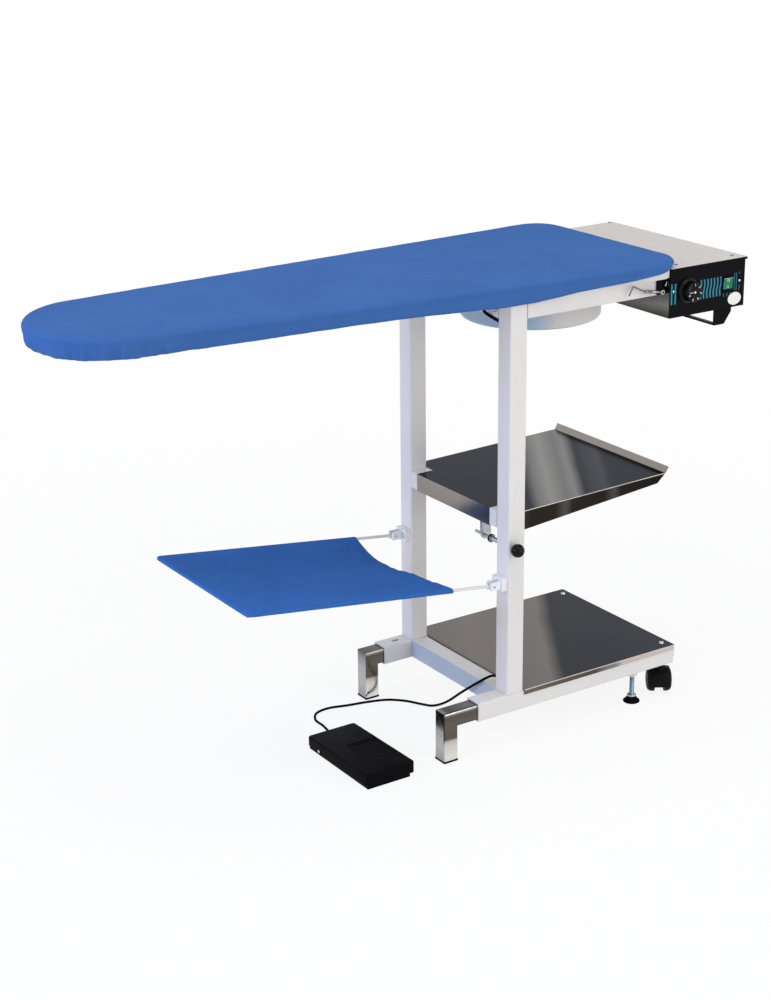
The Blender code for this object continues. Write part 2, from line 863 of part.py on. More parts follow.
# Index plunger through the front post
sleeveBase = tube + gap
bm = bmesh.new()
bore = plungerRod + slack
addTurned(bm, (plungerX, sleeveBase, plungerZ), (0, 1, 0),
          [(sleeveRadius, 0), (sleeveRadius, sleeveLength), (collarRadius, sleeveLength),
           (collarRadius, sleeveLength + collarThick), (bore, sleeveLength + collarThick), (bore, 0)], 16,
          joined=True)
finish("Plunger_sleeve", bm, zincSteel, turned=True)
rodTip = lugY - gap
ballBack = -gap - plungerBallNeck / 3
bm = bmesh.new()
addRod(bm, (plungerX, ballBack - gap, plungerZ), (plungerX, rodTip, plungerZ), plungerRod, 16)
finish("Plunger_rod", bm, zincSteel, (plungerX, ballBack, plungerZ), turned=True)
ballSteps = 8
ballTurns = [math.pi * i / ballSteps for i in range(ballSteps)]
profile = [(plungerBall * math.sin(a), -plungerBall * math.cos(a)) for a in ballTurns]
flat = plungerBall * math.cos(math.pi / ballSteps)
profile = [(0, -plungerBall)] + profile[1:] + [(plungerBallNeck, flat + gap)]
bm = bmesh.new()
addTurned(bm, (plungerX, ballBack - 2 * gap - flat - gap, plungerZ), (0, 1, 0), profile, 18)
finish("Plunger_ball", bm, blackPlastic, (plungerX, ballBack, plungerZ), turned=True)

# Clothes rack: a bent rod that swings in two clips
slope = math.tan(rackTilt)


def rackHeight(x):
    return rackZ - x * slope


pivotZ = rackHeight(-rackPivot)
rackHinge = (-rackPivot, midY, pivotZ)
corner = []
for i in range(5):
    a = math.pi / 2 * i / 4
    corner.append((-rackEnd + rackBend * (1 - math.sin(a)), rackSide + rackBend * (1 - math.cos(a))))
route = [(-rackPivot + rackRod, rackSide)] + corner
route += [(x, frameDepth - y) for x, y in corner[::-1]] + [(-rackPivot + rackRod, frameDepth - rackSide)]
bm = bmesh.new()
addTubeAlong(bm, [(x, y, rackHeight(x)) for x, y in route], rackRod, 8)
rack = finish("Rack_rod", bm, whitePaint, rackHinge, turned=True)
for side in sides:
    toward = 1 if side == "Front" else -1
    y = sideY(side, rackSide)
    bm = bmesh.new()
    pinReach = rackRod + rackEarGap + rackEarWall + rackRod / 2
    addRod(bm, (-rackPivot, y - pinReach, pivotZ), (-rackPivot, y + pinReach, pivotZ), rackPin, 12)
    boolean(rack, finish("rack_pin_" + side, bm, None), "UNION")
    clipLow = pivotZ - rackClipLow
    clipHigh = clipLow + rackClipHeight
    bm = bmesh.new()
    addBox(bm, (-gap, sideY(side, rackClipSide), clipLow),
           (-rackClipBase, sideY(side, rackClipSide + rackClipWidth), clipHigh))
    clip = finish(side + "_rack_clip", bm, clearPlastic)
    for number, sign in (("a", 1), ("b", -1)):
        bm = bmesh.new()
        inner = y + (rackRod + rackEarGap) * sign
        outer = inner + rackEarWall * sign
        addBox(bm, (-rackClipBase + overrun, inner, clipLow + rackEarWall),
               (-rackClipReach, outer, clipHigh - rackEarWall))
        boolean(clip, finish("ear_" + side + number, bm, None), "UNION")
    cutRod(clip, "clip_pin_" + side, (-rackPivot, y - rackClipWidth, pivotZ),
           (-rackPivot, y + rackClipWidth, pivotZ), rackPin + slack, steps=12)
    windowY = sideY(side, rackSide + rackRod + rackEarGap + rackEarWall + rackWindowWidth / 2)
    cutBox(clip, "window_" + side,
           (-rackClipBase + rackWindowDepth, windowY - rackWindowWidth / 2, pivotZ - rackWindowHeight / 2),
           (-rackClipBase - overrun, windowY + rackWindowWidth / 2, pivotZ + rackWindowHeight / 2))

# Cloth of the rack: an inverted tray over the rod that sags at its free edge
clothTop = rackRod + gap + clothThick
clothLeft = -rackEnd - rackRod - gap - clothThick
clothNear = rackSide - rackRod - gap - clothThick
clothFar = frameDepth - clothNear


def clothPoint(u, v):
    # Flat over the rods, sagging between them
    x = -clothStart + (clothLeft + clothStart) * u
    y = clothNear + (clothFar - clothNear) * v
    sleeve = clothSleeve / (clothFar - clothNear)
    across = min(1, max(0, (v - sleeve) / (1 - 2 * sleeve)))
    along = min(1, u / (1 + clothSleeve / (clothLeft + clothStart)))
    belly = math.sin(math.pi * across)
    sag = (clothSagMiddle * math.sin(math.pi * along) + clothSagEdge * (1 - along) ** 3) * belly
    wave = clothWave * math.sin(3 * math.pi * across) * (1 - along) ** 2 * belly
    pull = clothSagEdge * belly * (1 - along) ** 4
    return Vector((x - pull, y, rackHeight(x) + clothTop - sag - wave))


def clothSteps(count, sleeves):
    inner = [sleeves[0] + (1 - sum(sleeves)) * i / count for i in range(count + 1)]
    return sorted(set([0] + inner + [1]))


sleeveAlong = clothSleeve / (-clothStart - clothLeft)
sleeveAcross = clothSleeve / (clothFar - clothNear)
alongSteps = clothSteps(clothRows, (0, sleeveAlong))
acrossSteps = clothSteps(clothColumns, (sleeveAcross, sleeveAcross))
bm = bmesh.new()
grid = [[bm.verts.new(clothPoint(u, v)) for v in acrossSteps] for u in alongSteps]
for lower, upper in zip(grid, grid[1:]):
    for a, b, c, d in zip(lower, lower[1:], upper[1:], upper):
        bm.faces.new((a, b, c, d))
skirt = clothTop + clothSkirt
border = [row[0] for row in grid] + grid[-1][1:] + [row[-1] for row in grid[-2::-1]]
hemLine = [bm.verts.new(vertex.co - Vector((0, 0, skirt))) for vertex in border]
for a, b, c, d in zip(border, border[1:], hemLine[1:], hemLine):
    bm.faces.new((b, a, d, c))
bmesh.ops.recalc_face_normals(bm, faces=bm.faces)
if sum(face.normal.z for face in bm.faces) < 0:
    bmesh.ops.reverse_faces(bm, faces=bm.faces)
cloth = finish("Rack_cloth", bm, rackBlue, rackHinge, turned=True, closed=False)
thicken(cloth, clothThick, folded=False)


# Board outline, from the nose round to the box end

def boardMiddle(x):
    return midY - boardDrift * x


def boardWidth(x):
    return boardHalf + boardTaper * x


def boardOutline(inset, limit=None):
    points = []
    for i in range(noseSteps + 1):
        a = math.pi / 2 * (1 - i / noseSteps)
        x = -noseStart - (noseTip - noseStart) * math.sin(a) ** (2 / nosePower)
        points.append((x, -boardWidth(-noseStart) * math.cos(a)))
    for i in range(1, sideSteps + 1):
        x = -noseStart + (boardRight - boardCorner + noseStart) * i / sideSteps
        points.append((x, -boardWidth(x)))
    endHalf = boardWidth(boardRight - boardCorner)
    for i in range(1, cornerSteps + 1):
        a = math.pi / 2 * i / cornerSteps
        points.append((boardRight - boardCorner * (1 - math.sin(a)),
                       -endHalf + boardCorner * (1 - math.cos(a))))
    for share in boardEndShares:
        points.append((boardRight, -(endHalf - boardCorner) * share))
    loop = points + [(x, -y) for x, y in points[-2:0:-1]]
    moved = []
    for i, (x, y) in enumerate(loop):
        before = Vector(loop[i - 1])
        after = Vector(loop[(i + 1) % len(loop)])
        along = (after - before).normalized()
        x -= along.y * inset
        y += along.x * inset
        if limit is not None:
            x = min(x, limit)
        moved.append((x, boardMiddle(x) + y))
    return moved


def hemHeight(x):
    table = [
        (-noseTip, boardTop - hemNoseDrop), (-hemMiddleX, boardTop - hemMiddleDrop),
        (hemPostX, boardTop - hemPostDrop), (hemArmX, boardTop - hemArmDrop),
        (boxLeft - overrun, boxTop + hemLift), (boardRight, boxTop + hemLift),
    ]
    x = max(x, -noseTip)
    for (x0, z0), (x1, z1) in zip(table, table[1:]):
        if x <= x1:
            return z0 + (z1 - z0) * (x - x0) / (x1 - x0)
    return table[-1][1]


def level(outline, z):
    return [(x, y, z) for x, y in outline]


fold = coverRound * (1 - math.sqrt(0.5))
thick = coverThick
sideLow = boardTop - coverSide
hem = boardOutline(hemTuck)
innerHem = boardOutline(hemTuck + thick)
rings = [
    level(boardOutline(coverRound), boardTop),
    level(boardOutline(fold), boardTop - fold),
    level(boardOutline(0), boardTop - coverRound),
    [(x, y, max(sideLow, hemHeight(x) + 2 * thick)) for x, y in boardOutline(0)],
    [(x, y, hemHeight(x)) for x, y in hem],
    [(x, y, hemHeight(x)) for x, y in innerHem],
    [(x, y, max(sideLow, hemHeight(x) + 2 * thick) + thick) for x, y in boardOutline(thick)],
    level(boardOutline(thick), boardTop - coverRound),
    level(boardOutline(fold + thick), boardTop - fold - thick),
    level(boardOutline(coverRound), boardTop - thick),
]
bm = bmesh.new()
addRings(bm, rings)
finish("Board_cover", bm, coverBlue, turned=True)

bm = bmesh.new()
addRings(bm, [level(boardOutline(thick + padInset), padLow),
              level(boardOutline(fold + thick + 2 * gap), boardTop - fold - thick - 2 * gap),
              level(boardOutline(coverRound + 2 * gap), padTop)])
finish("Felt_pad", bm, feltGrey, turned=True)

trayRight = boxLeft - gap
bm = bmesh.new()
addRings(bm, [level(boardOutline(trayInset, trayRight), plateTop - plateSheet),
              level(boardOutline(trayInset, trayRight), plateTop)])
finish("Suction_plate", bm, trayPaint)

bm = bmesh.new()
outer = boardOutline(trayInset, trayRight)
inner = boardOutline(trayInset + sheet, trayRight - sheet)
addRings(bm, [level(outer, trayBottom), level(outer, rimTop),
              level(inner, rimTop), level(inner, trayBottom + sheet)])
tray = finish("Board_tray", bm, trayPaint)
cutRod(tray, "suction", (drumX, midY, trayBottom - overrun), (drumX, midY, trayBottom + sheet + overrun),
       suctionHole, steps=24)

# Heating element, a bent rod just under the plate
elementZ = rimTop - gap - elementRadius
route = []
for run, share in enumerate(elementShares):
    ends = (-elementTo + elementEdge, elementFrom)
    ends = ends if run % 2 else ends[::-1]
    for x in ends:
        route.append((x, share * elementSpacing))
path = []
for run in range(4):
    a, b = route[2 * run], route[2 * run + 1]
    path += [Vector((a[0] + (b[0] - a[0]) * k / 4, a[1], 0)) for k in range(5)]
    if run < 3:
        out = elementSpacing / 2 * (1 if b[0] > 0 else -1)
        for k in range(1, 6):
            a = math.pi * k / 6
            side = elementSpacing * (1 - math.cos(a)) / 2
            path.append(Vector((b[0] + out * math.sin(a), b[1] + side, 0)))
bm = bmesh.new()
addTubeAlong(bm, [(p.x, boardMiddle(p.x) + p.y, elementZ) for p in path], elementRadius, 8)
finish("Heating_element", bm, zincSteel, turned=True)

# Suction fan under the tray
drumTop = trayBottom - gap
drumHeight = drumTop - drumBottom
inside = drumRadius - drumWall
bm = bmesh.new()
addTurned(bm, (drumX, midY, drumBottom), (0, 0, 1),
          [(0, 0), (drumRadius - drumChamfer, 0), (drumRadius, drumChamfer), (drumRadius, drumHeight),
           (inside, drumHeight), (inside, drumChamfer), (inside - drumChamfer, drumWall),
           (0, drumWall)], 40)
drum = finish("Fan_drum", bm, whitePaint, turned=True)
bm = bmesh.new()
for i in range(ventCount):
    a = math.tau * i / ventCount
    place = (drumX + ventCircle * math.cos(a), midY + ventCircle * math.sin(a))
    addRod(bm, (*place, drumBottom - overrun), (*place, drumBottom + drumWall + overrun), ventRadius, 10)
boolean(drum, finish("cut_vents", bm, None))
motorLow = drumBottom + drumWall + gap
motorTop = motorLow + motorHeight
bm = bmesh.new()
addTurned(bm, (drumX, midY, motorLow), (0, 0, 1),
          [(motorRadius, 0), (motorRadius, motorHeight), (fanShaft + slack, motorHeight),
           (fanShaft + slack, motorHeight / 2), (0, motorHeight / 2)], 20)
finish("Fan_motor", bm, blackPlastic, turned=True)
fanLow = motorTop + fanLift
star = []
for i in range(fanBlades):
    a = math.tau * i / fanBlades
    turn = math.tau / fanBlades
    for radius, lag in zip((fanHub, fanRadius, fanRadius, fanHub), bladeLagShares):
        star.append((drumX + radius * math.cos(a + turn * lag), midY + radius * math.sin(a + turn * lag)))
bm = bmesh.new()
addPrism(bm, star, "Z", fanLow, fanLow + fanHeight)
fan = finish("Fan_impeller", bm, blackPlastic, (drumX, midY, fanLow))
bm = bmesh.new()
addRod(bm, (drumX, midY, motorLow + motorHeight / 2 + gap), (drumX, midY, fanLow + fanHeight / 2),
       fanShaft, 12)
boolean(fan, finish("fan_shaft", bm, None), "UNION")

# Bolt head and lead at the top of the front post
bm = bmesh.new()
addTurned(bm, (-gap, boltY, boltZ), (-1, 0, 0),
          [(0, 0), (boltRadius, 0), (boltRadius, boltHeight / 2),
           (boltRadius / 2, boltHeight * boltDomeShare), (0, boltHeight)], 12)
finish("Pivot_bolt", bm, zincSteel, turned=True)
leadTop = trayBottom - gap
leadStraight = 2 * leadRadius
leadSide = leadStartY + leadBulge
top = [Vector((-leadOut, leadStartY, leadTop)), Vector((-leadOut, leadStartY, leadTop - leadStraight))]
foot = [Vector((leadX, tube + gap + leadStraight, leadEndZ)), Vector((leadX, tube + gap, leadEndZ))]
turn = Vector((-leadOut, leadSide, leadEndZ + (leadTop - leadEndZ) * leadTurnShare))
bm = bmesh.new()
addTubeAlong(bm, [top[0]] + smoothPath([top[1], turn, foot[0]], leadRadius) + [foot[1]], leadRadius, 8)
finish("Heater_lead", bm, blackRubber, turned=True)

# Control box
panelBack = panelFace + panelThick
shellFront = panelBack + gap
boxBack = -boxFront + boxDepth
shellTop = boxTop - sheet - gap
bm = bmesh.new()
corners = [(boxLeft, shellFront), (boxRight, shellFront), (boxRight, boxBack), (boxLeft, boxBack)]
low = [bm.verts.new((x, y, boxBottom)) for x, y in corners]
high = [bm.verts.new((x, y, shellTop)) for x, y in corners]
bm.faces.new((low[3], low[2], low[1], low[0]))
bm.faces.new((low[1], low[2], high[2], high[1]))
bm.faces.new((low[2], low[3], high[3], high[2]))
bm.faces.new((low[3], low[0], high[0], high[3]))
shell = finish("Box_shell", bm, brushedSteel, closed=False)
thicken(shell, sheet)

lidFront = panelFace - gap - sheet
bm = bmesh.new()
outline = [(boxLeft, lidFront), (lidRight, lidFront), (lidRight, boxBack), (boxLeft, boxBack)]
addSheetFold(bm, outline, boxTop, {
    0: ((boxLeft, lidFront, boxTop - lidLip), (lidRight, lidFront, boxTop - lidLip)),
})
lid = finish("Box_lid", bm, lidSteel, closed=False)
thicken(lid, sheet)

knobX = boxLeft + knobFromLeft
switchX = boxLeft + switchFromLeft
controlZ = boxTop - controlDrop
bm = bmesh.new()
addBox(bm, (boxLeft, panelFace, boxBottom), (boxRight, panelBack, shellTop))
panel = finish("Control_panel", bm, blackPanel)
cutRod(panel, "shaft", (knobX, panelFace - overrun, controlZ), (knobX, panelBack + overrun, controlZ),
       knobShaft + slack, steps=12)
hole = switchBody / 2 + gap
cutBox(panel, "switch", (switchX - hole, panelFace - overrun, controlZ - hole),
       (switchX + hole, panelBack + overrun, controlZ + hole))

# Knob on its thermostat
knobBase = panelFace - gap
bm = bmesh.new()
addTurned(bm, (knobX, knobBase, controlZ), (0, -1, 0),
          [(0, -knobShaftReach), (knobShaft, -knobShaftReach), (knobShaft, 0), (knobSkirt, 0),
           (knobSkirt, knobSkirtThick), (knobGrip + knobEdge, knobSkirtThick + knobShoulder),
           (knobGrip, knobHeight - knobEdge), (knobGrip - knobEdge, knobHeight), (0, knobHeight)], 24)
finish("Temperature_knob", bm, blackPlastic, (knobX, knobBase, controlZ), turned=True)
bm = bmesh.new()
wide = thermostatSize / 2
addBox(bm, (knobX - wide, panelBack + gap, controlZ - wide),
       (knobX + wide, panelBack + thermostatDepth, controlZ + wide))
thermostat = finish("Thermostat", bm, clearPlastic)
cutRod(thermostat, "thermostat_shaft", (knobX, panelBack - overrun, controlZ),
       (knobX, knobBase + knobShaftReach + overrun, controlZ), knobShaft + slack, steps=12)

# Power switch
rimFace = panelFace - gap - switchRim
bm = bmesh.new()
wide = switchBody / 2
addBox(bm, (switchX - wide, panelFace - gap - switchRim / 2, controlZ - wide),
       (switchX + wide, panelFace + switchDepth, controlZ + wide))
housing = finish("Switch_housing", bm, blackPlastic)
bm = bmesh.new()
wide = switchOuter / 2
addBox(bm, (switchX - wide, rimFace, controlZ - wide), (switchX + wide, panelFace - gap, controlZ + wide))
boolean(housing, finish("switch_rim", bm, None), "UNION")
wide = switchPocket / 2
tall = switchPocket / 2 + slack
cutBox(housing, "switch_pocket", (switchX - wide, rimFace - overrun, controlZ - tall),
       (switchX + wide, rimFace + switchPocketDepth, controlZ + tall))
rockerY = rimFace + rockerPivotDepth
bm = bmesh.new()
outline = [(rockerY - rockerRise, controlZ + rockerHalf), (rockerY - rockerDip, controlZ),
           (rockerY - rockerRise * rockerTipShare, controlZ - rockerHalf),
           (rockerY + rockerBack / 2, controlZ - rockerHalf * rockerTipShare),
           (rockerY + rockerBack, controlZ),
           (rockerY + rockerBack / 2, controlZ + rockerHalf * rockerTipShare)]
addPrism(bm, outline, "X", switchX - rockerWidth / 2, switchX + rockerWidth / 2)
finish("Power_rocker", bm, switchGreen, (switchX, rockerY, controlZ))

# Carrying handle under the box
top = boxBottom - gap
foot = top - handleDrop
outline = [(handleX, top), (handleX + handleTopWidth, top), (handleX + handleTopWidth, top - handleSide),
           (handleX + handleFootWidth, foot), (handleX, foot)]
bm = bmesh.new()
addPrism(bm, outline, "Y", handleY, handleY + handleSheet)
handle = finish("Carry_handle", bm, blackPanel)
bm = bmesh.new()
addPrism(bm, outline, "Y", handleY + handleLength - handleSheet, handleY + handleLength)
boolean(handle, finish("handle_back", bm, None), "UNION")
bm = bmesh.new()
addBox(bm, (handleX, handleY + handleSheet / 2, foot),
       (handleX + handleBar, handleY + handleLength - handleSheet / 2, foot + handleSheet))
boolean(handle, finish("handle_bar", bm, None), "UNION")

# Draw latch
bm = bmesh.new()
addBox(bm, (latchBlockLeft, -gap, latchBlockBottom),
       (boxLeft - gap, -gap - latchBlockDepth, latchBlockBottom + latchBlockHeight))
block = finish("Latch_block", bm, blackPanel)
eyeBack = -2 * gap - latchBlockDepth
eyeFront = eyeBack - latchEyeThick
bm = bmesh.new()
addRod(bm, (latchPivotX, -gap - latchBlockDepth / 2, latchPivotZ),
       (latchPivotX, eyeFront - gap, latchPivotZ), latchPin, 12)
boolean(block, finish("latch_pin", bm, None), "UNION")
latchY = (eyeBack + eyeFront) / 2
latchHinge = (latchPivotX, latchY, latchPivotZ)
bm = bmesh.new()
addTurned(bm, (latchPivotX, eyeFront, latchPivotZ), (0, 1, 0),
          [(latchPin + slack, 0), (latchEye, 0), (latchEye, latchEyeThick),
           (latchPin + slack, latchEyeThick)], 16, joined=True)
latch = finish("Latch_arm", bm, zincSteel, latchHinge, turned=True)
barrelEnd = (latchPivotX - latchBarrelLength, latchY, latchPivotZ + latchBarrelRise)
bm = bmesh.new()
start = Vector(latchHinge).lerp(Vector(barrelEnd), (latchPin + latchEye) / 2 / latchBarrelLength)
addRod(bm, start, barrelEnd, latchBarrel, 10)
boolean(latch, finish("latch_barrel", bm, None), "UNION")
bend = Vector(barrelEnd) + Vector((-latchWireStep, 0, latchWireRise))
tip = bend + Vector((-latchHookStep, 0, -latchHookDrop))
inside = Vector(latchHinge).lerp(Vector(barrelEnd), rockerTipShare)
bm = bmesh.new()
addTubeAlong(bm, [inside, barrelEnd, bend.lerp(Vector(barrelEnd), latchWire * 2 / latchWireStep), bend,
                  bend.lerp(tip, latchWire * 2 / latchHookDrop), tip], latchWire, 8)
boolean(latch, finish("latch_wire", bm, None), "UNION")

# Foot pedal on the floor
pedalX = -pedalLeft
pedalRight = pedalX + pedalWidth
pedalBack = pedalFront + pedalLength
pedalMid = (pedalX + pedalRight) / 2


def pedalTop(y):
    return pedalFrontTop + (pedalBackTop - pedalFrontTop) * (y - pedalFront) / pedalLength


def pedalShell(bm, inset, bottom, drop):
    rings = []
    x0, x1 = pedalX + inset, pedalRight - inset
    y0, y1 = pedalFront + inset, pedalBack - inset
    corners = ((x0, y0), (x1, y0), (x1, y1), (x0, y1))
    rings.append([(x, y, bottom) for x, y in corners])
    rings.append([(x, y, pedalTop(y) - drop) for x, y in corners])
    return rings


treadleHinge = (pedalMid, pedalPinY, pedalPinZ)
bm = bmesh.new()
addRings(bm, pedalShell(bm, 0, pedalSkirt, 0)[::-1] + pedalShell(bm, pedalWall, pedalSkirt, pedalWall))
treadle = finish("Pedal_treadle", bm, blackPlastic, treadleHinge)
cutRod(treadle, "treadle_pin", (pedalX - overrun, pedalPinY, pedalPinZ),
       (pedalRight + overrun, pedalPinY, pedalPinZ), pedalPin + slack, steps=12)
glandX = pedalX + glandRight
slotSide = glandRadius + glandSlot
cutBox(treadle, "gland_slot", (glandX - slotSide, pedalBack - pedalWall - overrun, pedalSkirt - overrun),
       (glandX + slotSide, pedalBack + overrun, glandZ + slotSide))
inset = pedalWall + pedalClear
x0, x1 = pedalX + inset, pedalRight - inset
y0, y1 = pedalFront + inset, pedalBack - inset
wall = pedalWall
bm = bmesh.new()
addRings(bm, [[(x, y, z) for x, y in ((a, c), (b, c), (b, d), (a, d))] for a, b, c, d, z in (
    (x0, x1, y0, y1, 0), (x0, x1, y0, y1, pedalBaseHeight),
    (x0 + wall, x1 - wall, y0 + wall, y1 - wall, pedalBaseHeight),
    (x0 + wall, x1 - wall, y0 + wall, y1 - wall, wall))])
base = finish("Pedal_base", bm, blackPlastic)
bm = bmesh.new()
glandEnd = pedalBack + glandReach
addRod(bm, (glandX, y1 - wall / 2, glandZ), (glandX, glandEnd, glandZ), glandRadius, 12)
boolean(base, finish("gland", bm, None), "UNION")
cutRod(base, "base_pin", (pedalX - overrun, pedalPinY, pedalPinZ),
       (pedalRight + overrun, pedalPinY, pedalPinZ), pedalPin + slack, steps=12)
bm = bmesh.new()
addRod(bm, (pedalX - gap, pedalPinY, pedalPinZ), (pedalRight + gap, pedalPinY, pedalPinZ), pedalPin, 12)
finish("Pedal_pin", bm, zincSteel, turned=True)
bm = bmesh.new()
addBox(bm, (pedalMid - pedalSwitchWidth / 2, pedalSwitchY, wall + gap),
       (pedalMid + pedalSwitchWidth / 2, pedalSwitchY + pedalSwitchLength, wall + gap + pedalSwitchHeight))
finish("Pedal_switch", bm, blackPlastic)

# Grommet in the post and the pedal cord
grommetFace = tube + gap + grommetThick
bm = bmesh.new()
addTurned(bm, (grommetX, tube + gap, grommetZ), (0, 1, 0),
          [(grommetRadius, 0), (grommetRadius, grommetThick / 2),
           (grommetRadius * grommetEdgeShare, grommetThick),
           (cordRadius * grommetBoreShare, grommetThick), (cordRadius * grommetBoreShare, 0)], 14,
          joined=True)
finish("Post_grommet", bm, blackRubber, turned=True)

start = Vector((glandX, glandEnd + gap, glandZ))
end = Vector((grommetX, grommetFace + gap, grommetZ))
lead = Vector((0, 2 * cordRadius, 0))
path = [start] + smoothPath([start + lead] + cordRoute + [end + lead], cordStep) + [end]
curve = bpy.data.curves.new("Pedal_cord", "CURVE")
curve.dimensions = "3D"
curve.bevel_depth = cordRadius
curve.bevel_resolution = 2
curve.use_fill_caps = True
curve.resolution_u = 1
curve.render_resolution_u = 0
spline = curve.splines.new("POLY")
spline.points.add(len(path) - 1)
for point, place in zip(spline.points, path):
    point.co = (*place, 1)
curve.materials.append(blackRubber)
cord = bpy.data.objects.new("Pedal_cord", curve)
bpy.context.scene.collection.objects.link(cord)
cord.parent = table

# The origin lies on the floor under the middle of the table
acrossBoard = [y for x, y in boardOutline(0)]
table.location = ((noseTip - lidRight) / 2, -(min(acrossBoard) + max(acrossBoard)) / 2, 0)
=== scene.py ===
import json
import math

import bmesh
import bpy
from mathutils import Matrix, Vector, noise


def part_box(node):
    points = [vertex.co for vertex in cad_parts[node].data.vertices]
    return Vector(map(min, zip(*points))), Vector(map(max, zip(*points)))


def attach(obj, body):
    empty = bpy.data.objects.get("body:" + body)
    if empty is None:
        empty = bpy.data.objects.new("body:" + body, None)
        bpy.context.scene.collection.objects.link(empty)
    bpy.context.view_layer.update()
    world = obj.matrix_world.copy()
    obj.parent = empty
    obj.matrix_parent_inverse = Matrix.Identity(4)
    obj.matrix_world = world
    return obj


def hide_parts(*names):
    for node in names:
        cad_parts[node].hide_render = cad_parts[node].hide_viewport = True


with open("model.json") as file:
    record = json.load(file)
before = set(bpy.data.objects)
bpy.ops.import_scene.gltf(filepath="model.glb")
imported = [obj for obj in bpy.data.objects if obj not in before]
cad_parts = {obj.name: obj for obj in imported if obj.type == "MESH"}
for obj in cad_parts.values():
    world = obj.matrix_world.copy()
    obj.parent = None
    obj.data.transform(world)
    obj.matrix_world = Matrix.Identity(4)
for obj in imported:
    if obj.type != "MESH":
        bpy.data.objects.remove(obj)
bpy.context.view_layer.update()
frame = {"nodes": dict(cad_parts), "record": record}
print("frame loaded")

# Table layout: x along the board, y to the back, z up, measured from the front post's corner
shift = Vector((0.1466, -0.174864, 0))  # from the layout to the frame
depth = 0.3615
midY = depth / 2
gap = 0.0003  # between a piece and the one it stands on
sides = (("Front", 0.019), ("Back", depth - 0.019))  # the middle of each floor rail


# Camera

cameraFacts = {
    "place": (-2.0907, -2.7842, 1.7309),
    "yaw": 0.5787,
    "pitch": 0.33935,
    "roll": -0.01155,
    "lens": 72.045,
}


def addObject(name, data):
    made = bpy.data.objects.new(name, data)
    bpy.context.scene.collection.objects.link(made)
    return made


def setCamera():
    yaw, pitch, roll = cameraFacts["yaw"], cameraFacts["pitch"], cameraFacts["roll"]
    ahead = Vector((math.sin(yaw) * math.cos(pitch), math.cos(yaw) * math.cos(pitch), -math.sin(pitch)))
    right = Vector((math.cos(yaw), -math.sin(yaw), 0))
    up = right.cross(ahead)
    across = right * math.cos(roll) + up * math.sin(roll)
    over = up * math.cos(roll) - right * math.sin(roll)
    data = bpy.data.cameras.new("Camera")
    data.lens = cameraFacts["lens"]
    data.sensor_width = 36
    camera = addObject("Camera", data)
    turn = Matrix((across, over, -ahead)).transposed().to_4x4()
    camera.matrix_world = Matrix.Translation(Vector(cameraFacts["place"]) + shift) @ turn
    bpy.context.scene.camera = camera


setCamera()


# Materials

def addNode(owner, kind, inputs, **settings):
    # Inputs are set from numbers and colours, or linked from other nodes' outputs
    tree = owner.node_tree
    made = tree.nodes.new("ShaderNode" + kind)
    for name, value in settings.items():
        setattr(made, name, value)
    for socket, value in inputs.items():
        if isinstance(value, bpy.types.NodeSocket):
            tree.links.new(value, made.inputs[socket])
        else:
            made.inputs[socket].default_value = value
    return made


def makeFinish(name, colour, roughness, metallic=0.0):
    finish = bpy.data.materials.new(name)
    finish.use_nodes = True
    shader = shaderOf(finish)
    shader.inputs["Base Color"].default_value = (*colour, 1)
    shader.inputs["Roughness"].default_value = roughness
    shader.inputs["Metallic"].default_value = metallic
    return finish


def shaderOf(finish):
    return finish.node_tree.nodes["Principled BSDF"]


def intoShader(finish, socket, source):
    finish.node_tree.links.new(source, shaderOf(finish).inputs[socket])


def placeOf(finish, kind="Object"):
    return addNode(finish, "TexCoord", {}).outputs[kind]


def rangeOf(owner, source, fromLow, fromHigh, low=0.0, high=1.0):
    return addNode(owner, "MapRange", {"Value": source, "From Min": fromLow, "From Max": fromHigh,
                                       "To Min": low, "To Max": high}).outputs["Result"]


def largerOf(owner, first, second):
    return addNode(owner, "Math", {0: first, 1: second}, operation="MAXIMUM").outputs["Value"]


def noiseAt(finish, scale, stretch=(1, 1, 1), detail=4):
    place = addNode(finish, "Mapping", {"Vector": placeOf(finish), "Scale": stretch}).outputs["Vector"]
    return addNode(finish, "TexNoise", {"Vector": place, "Scale": scale, "Detail": detail,
                                        "Roughness": 0.55}).outputs["Fac"]


def rampOf(finish, stops, source):
    ramp = addNode(finish, "ValToRGB", {"Fac": source})
    elements = ramp.color_ramp.elements
    while len(elements) < len(stops):
        elements.new(0.5)
    for element, (position, colour) in zip(elements, stops):
        element.position = position
        element.color = (*colour, 1)
    return ramp.outputs["Color"]


def varyColour(finish, stops, source):
    intoShader(finish, "Base Color", rampOf(finish, stops, source))


def varyRoughness(finish, low, high, source):
    intoShader(finish, "Roughness", rangeOf(finish, source, 0.3, 0.7, low, high))


def addBump(finish, source, strength, distance=0.0002):
    normal = shaderOf(finish).inputs["Normal"]
    inputs = {"Strength": strength, "Distance": distance, "Height": source}
    if normal.is_linked:
        inputs["Normal"] = normal.links[0].from_socket
    intoShader(finish, "Normal", addNode(finish, "Bump", inputs).outputs["Normal"])


def reachOf(finish, direction, kind):
    return addNode(finish, "VectorMath", {0: placeOf(finish, kind), 1: direction},
                   operation="DOT_PRODUCT").outputs["Value"]


def alongAt(finish, direction, low, high, warp=0.0):
    # Place along a direction, 0 at low and 1 at high, bent a little by noise
    inputs = {0: noiseAt(finish, 8, detail=3), 1: warp, 2: reachOf(finish, direction, "Object")}
    bent = addNode(finish, "Math", inputs, operation="MULTIPLY_ADD")
    return rangeOf(finish, bent.outputs["Value"], low + warp / 2, high + warp / 2)


def facing(finish, direction, low, high):
    # 1 where the surface faces the direction
    return rangeOf(finish, reachOf(finish, direction, "Normal"), low, high)


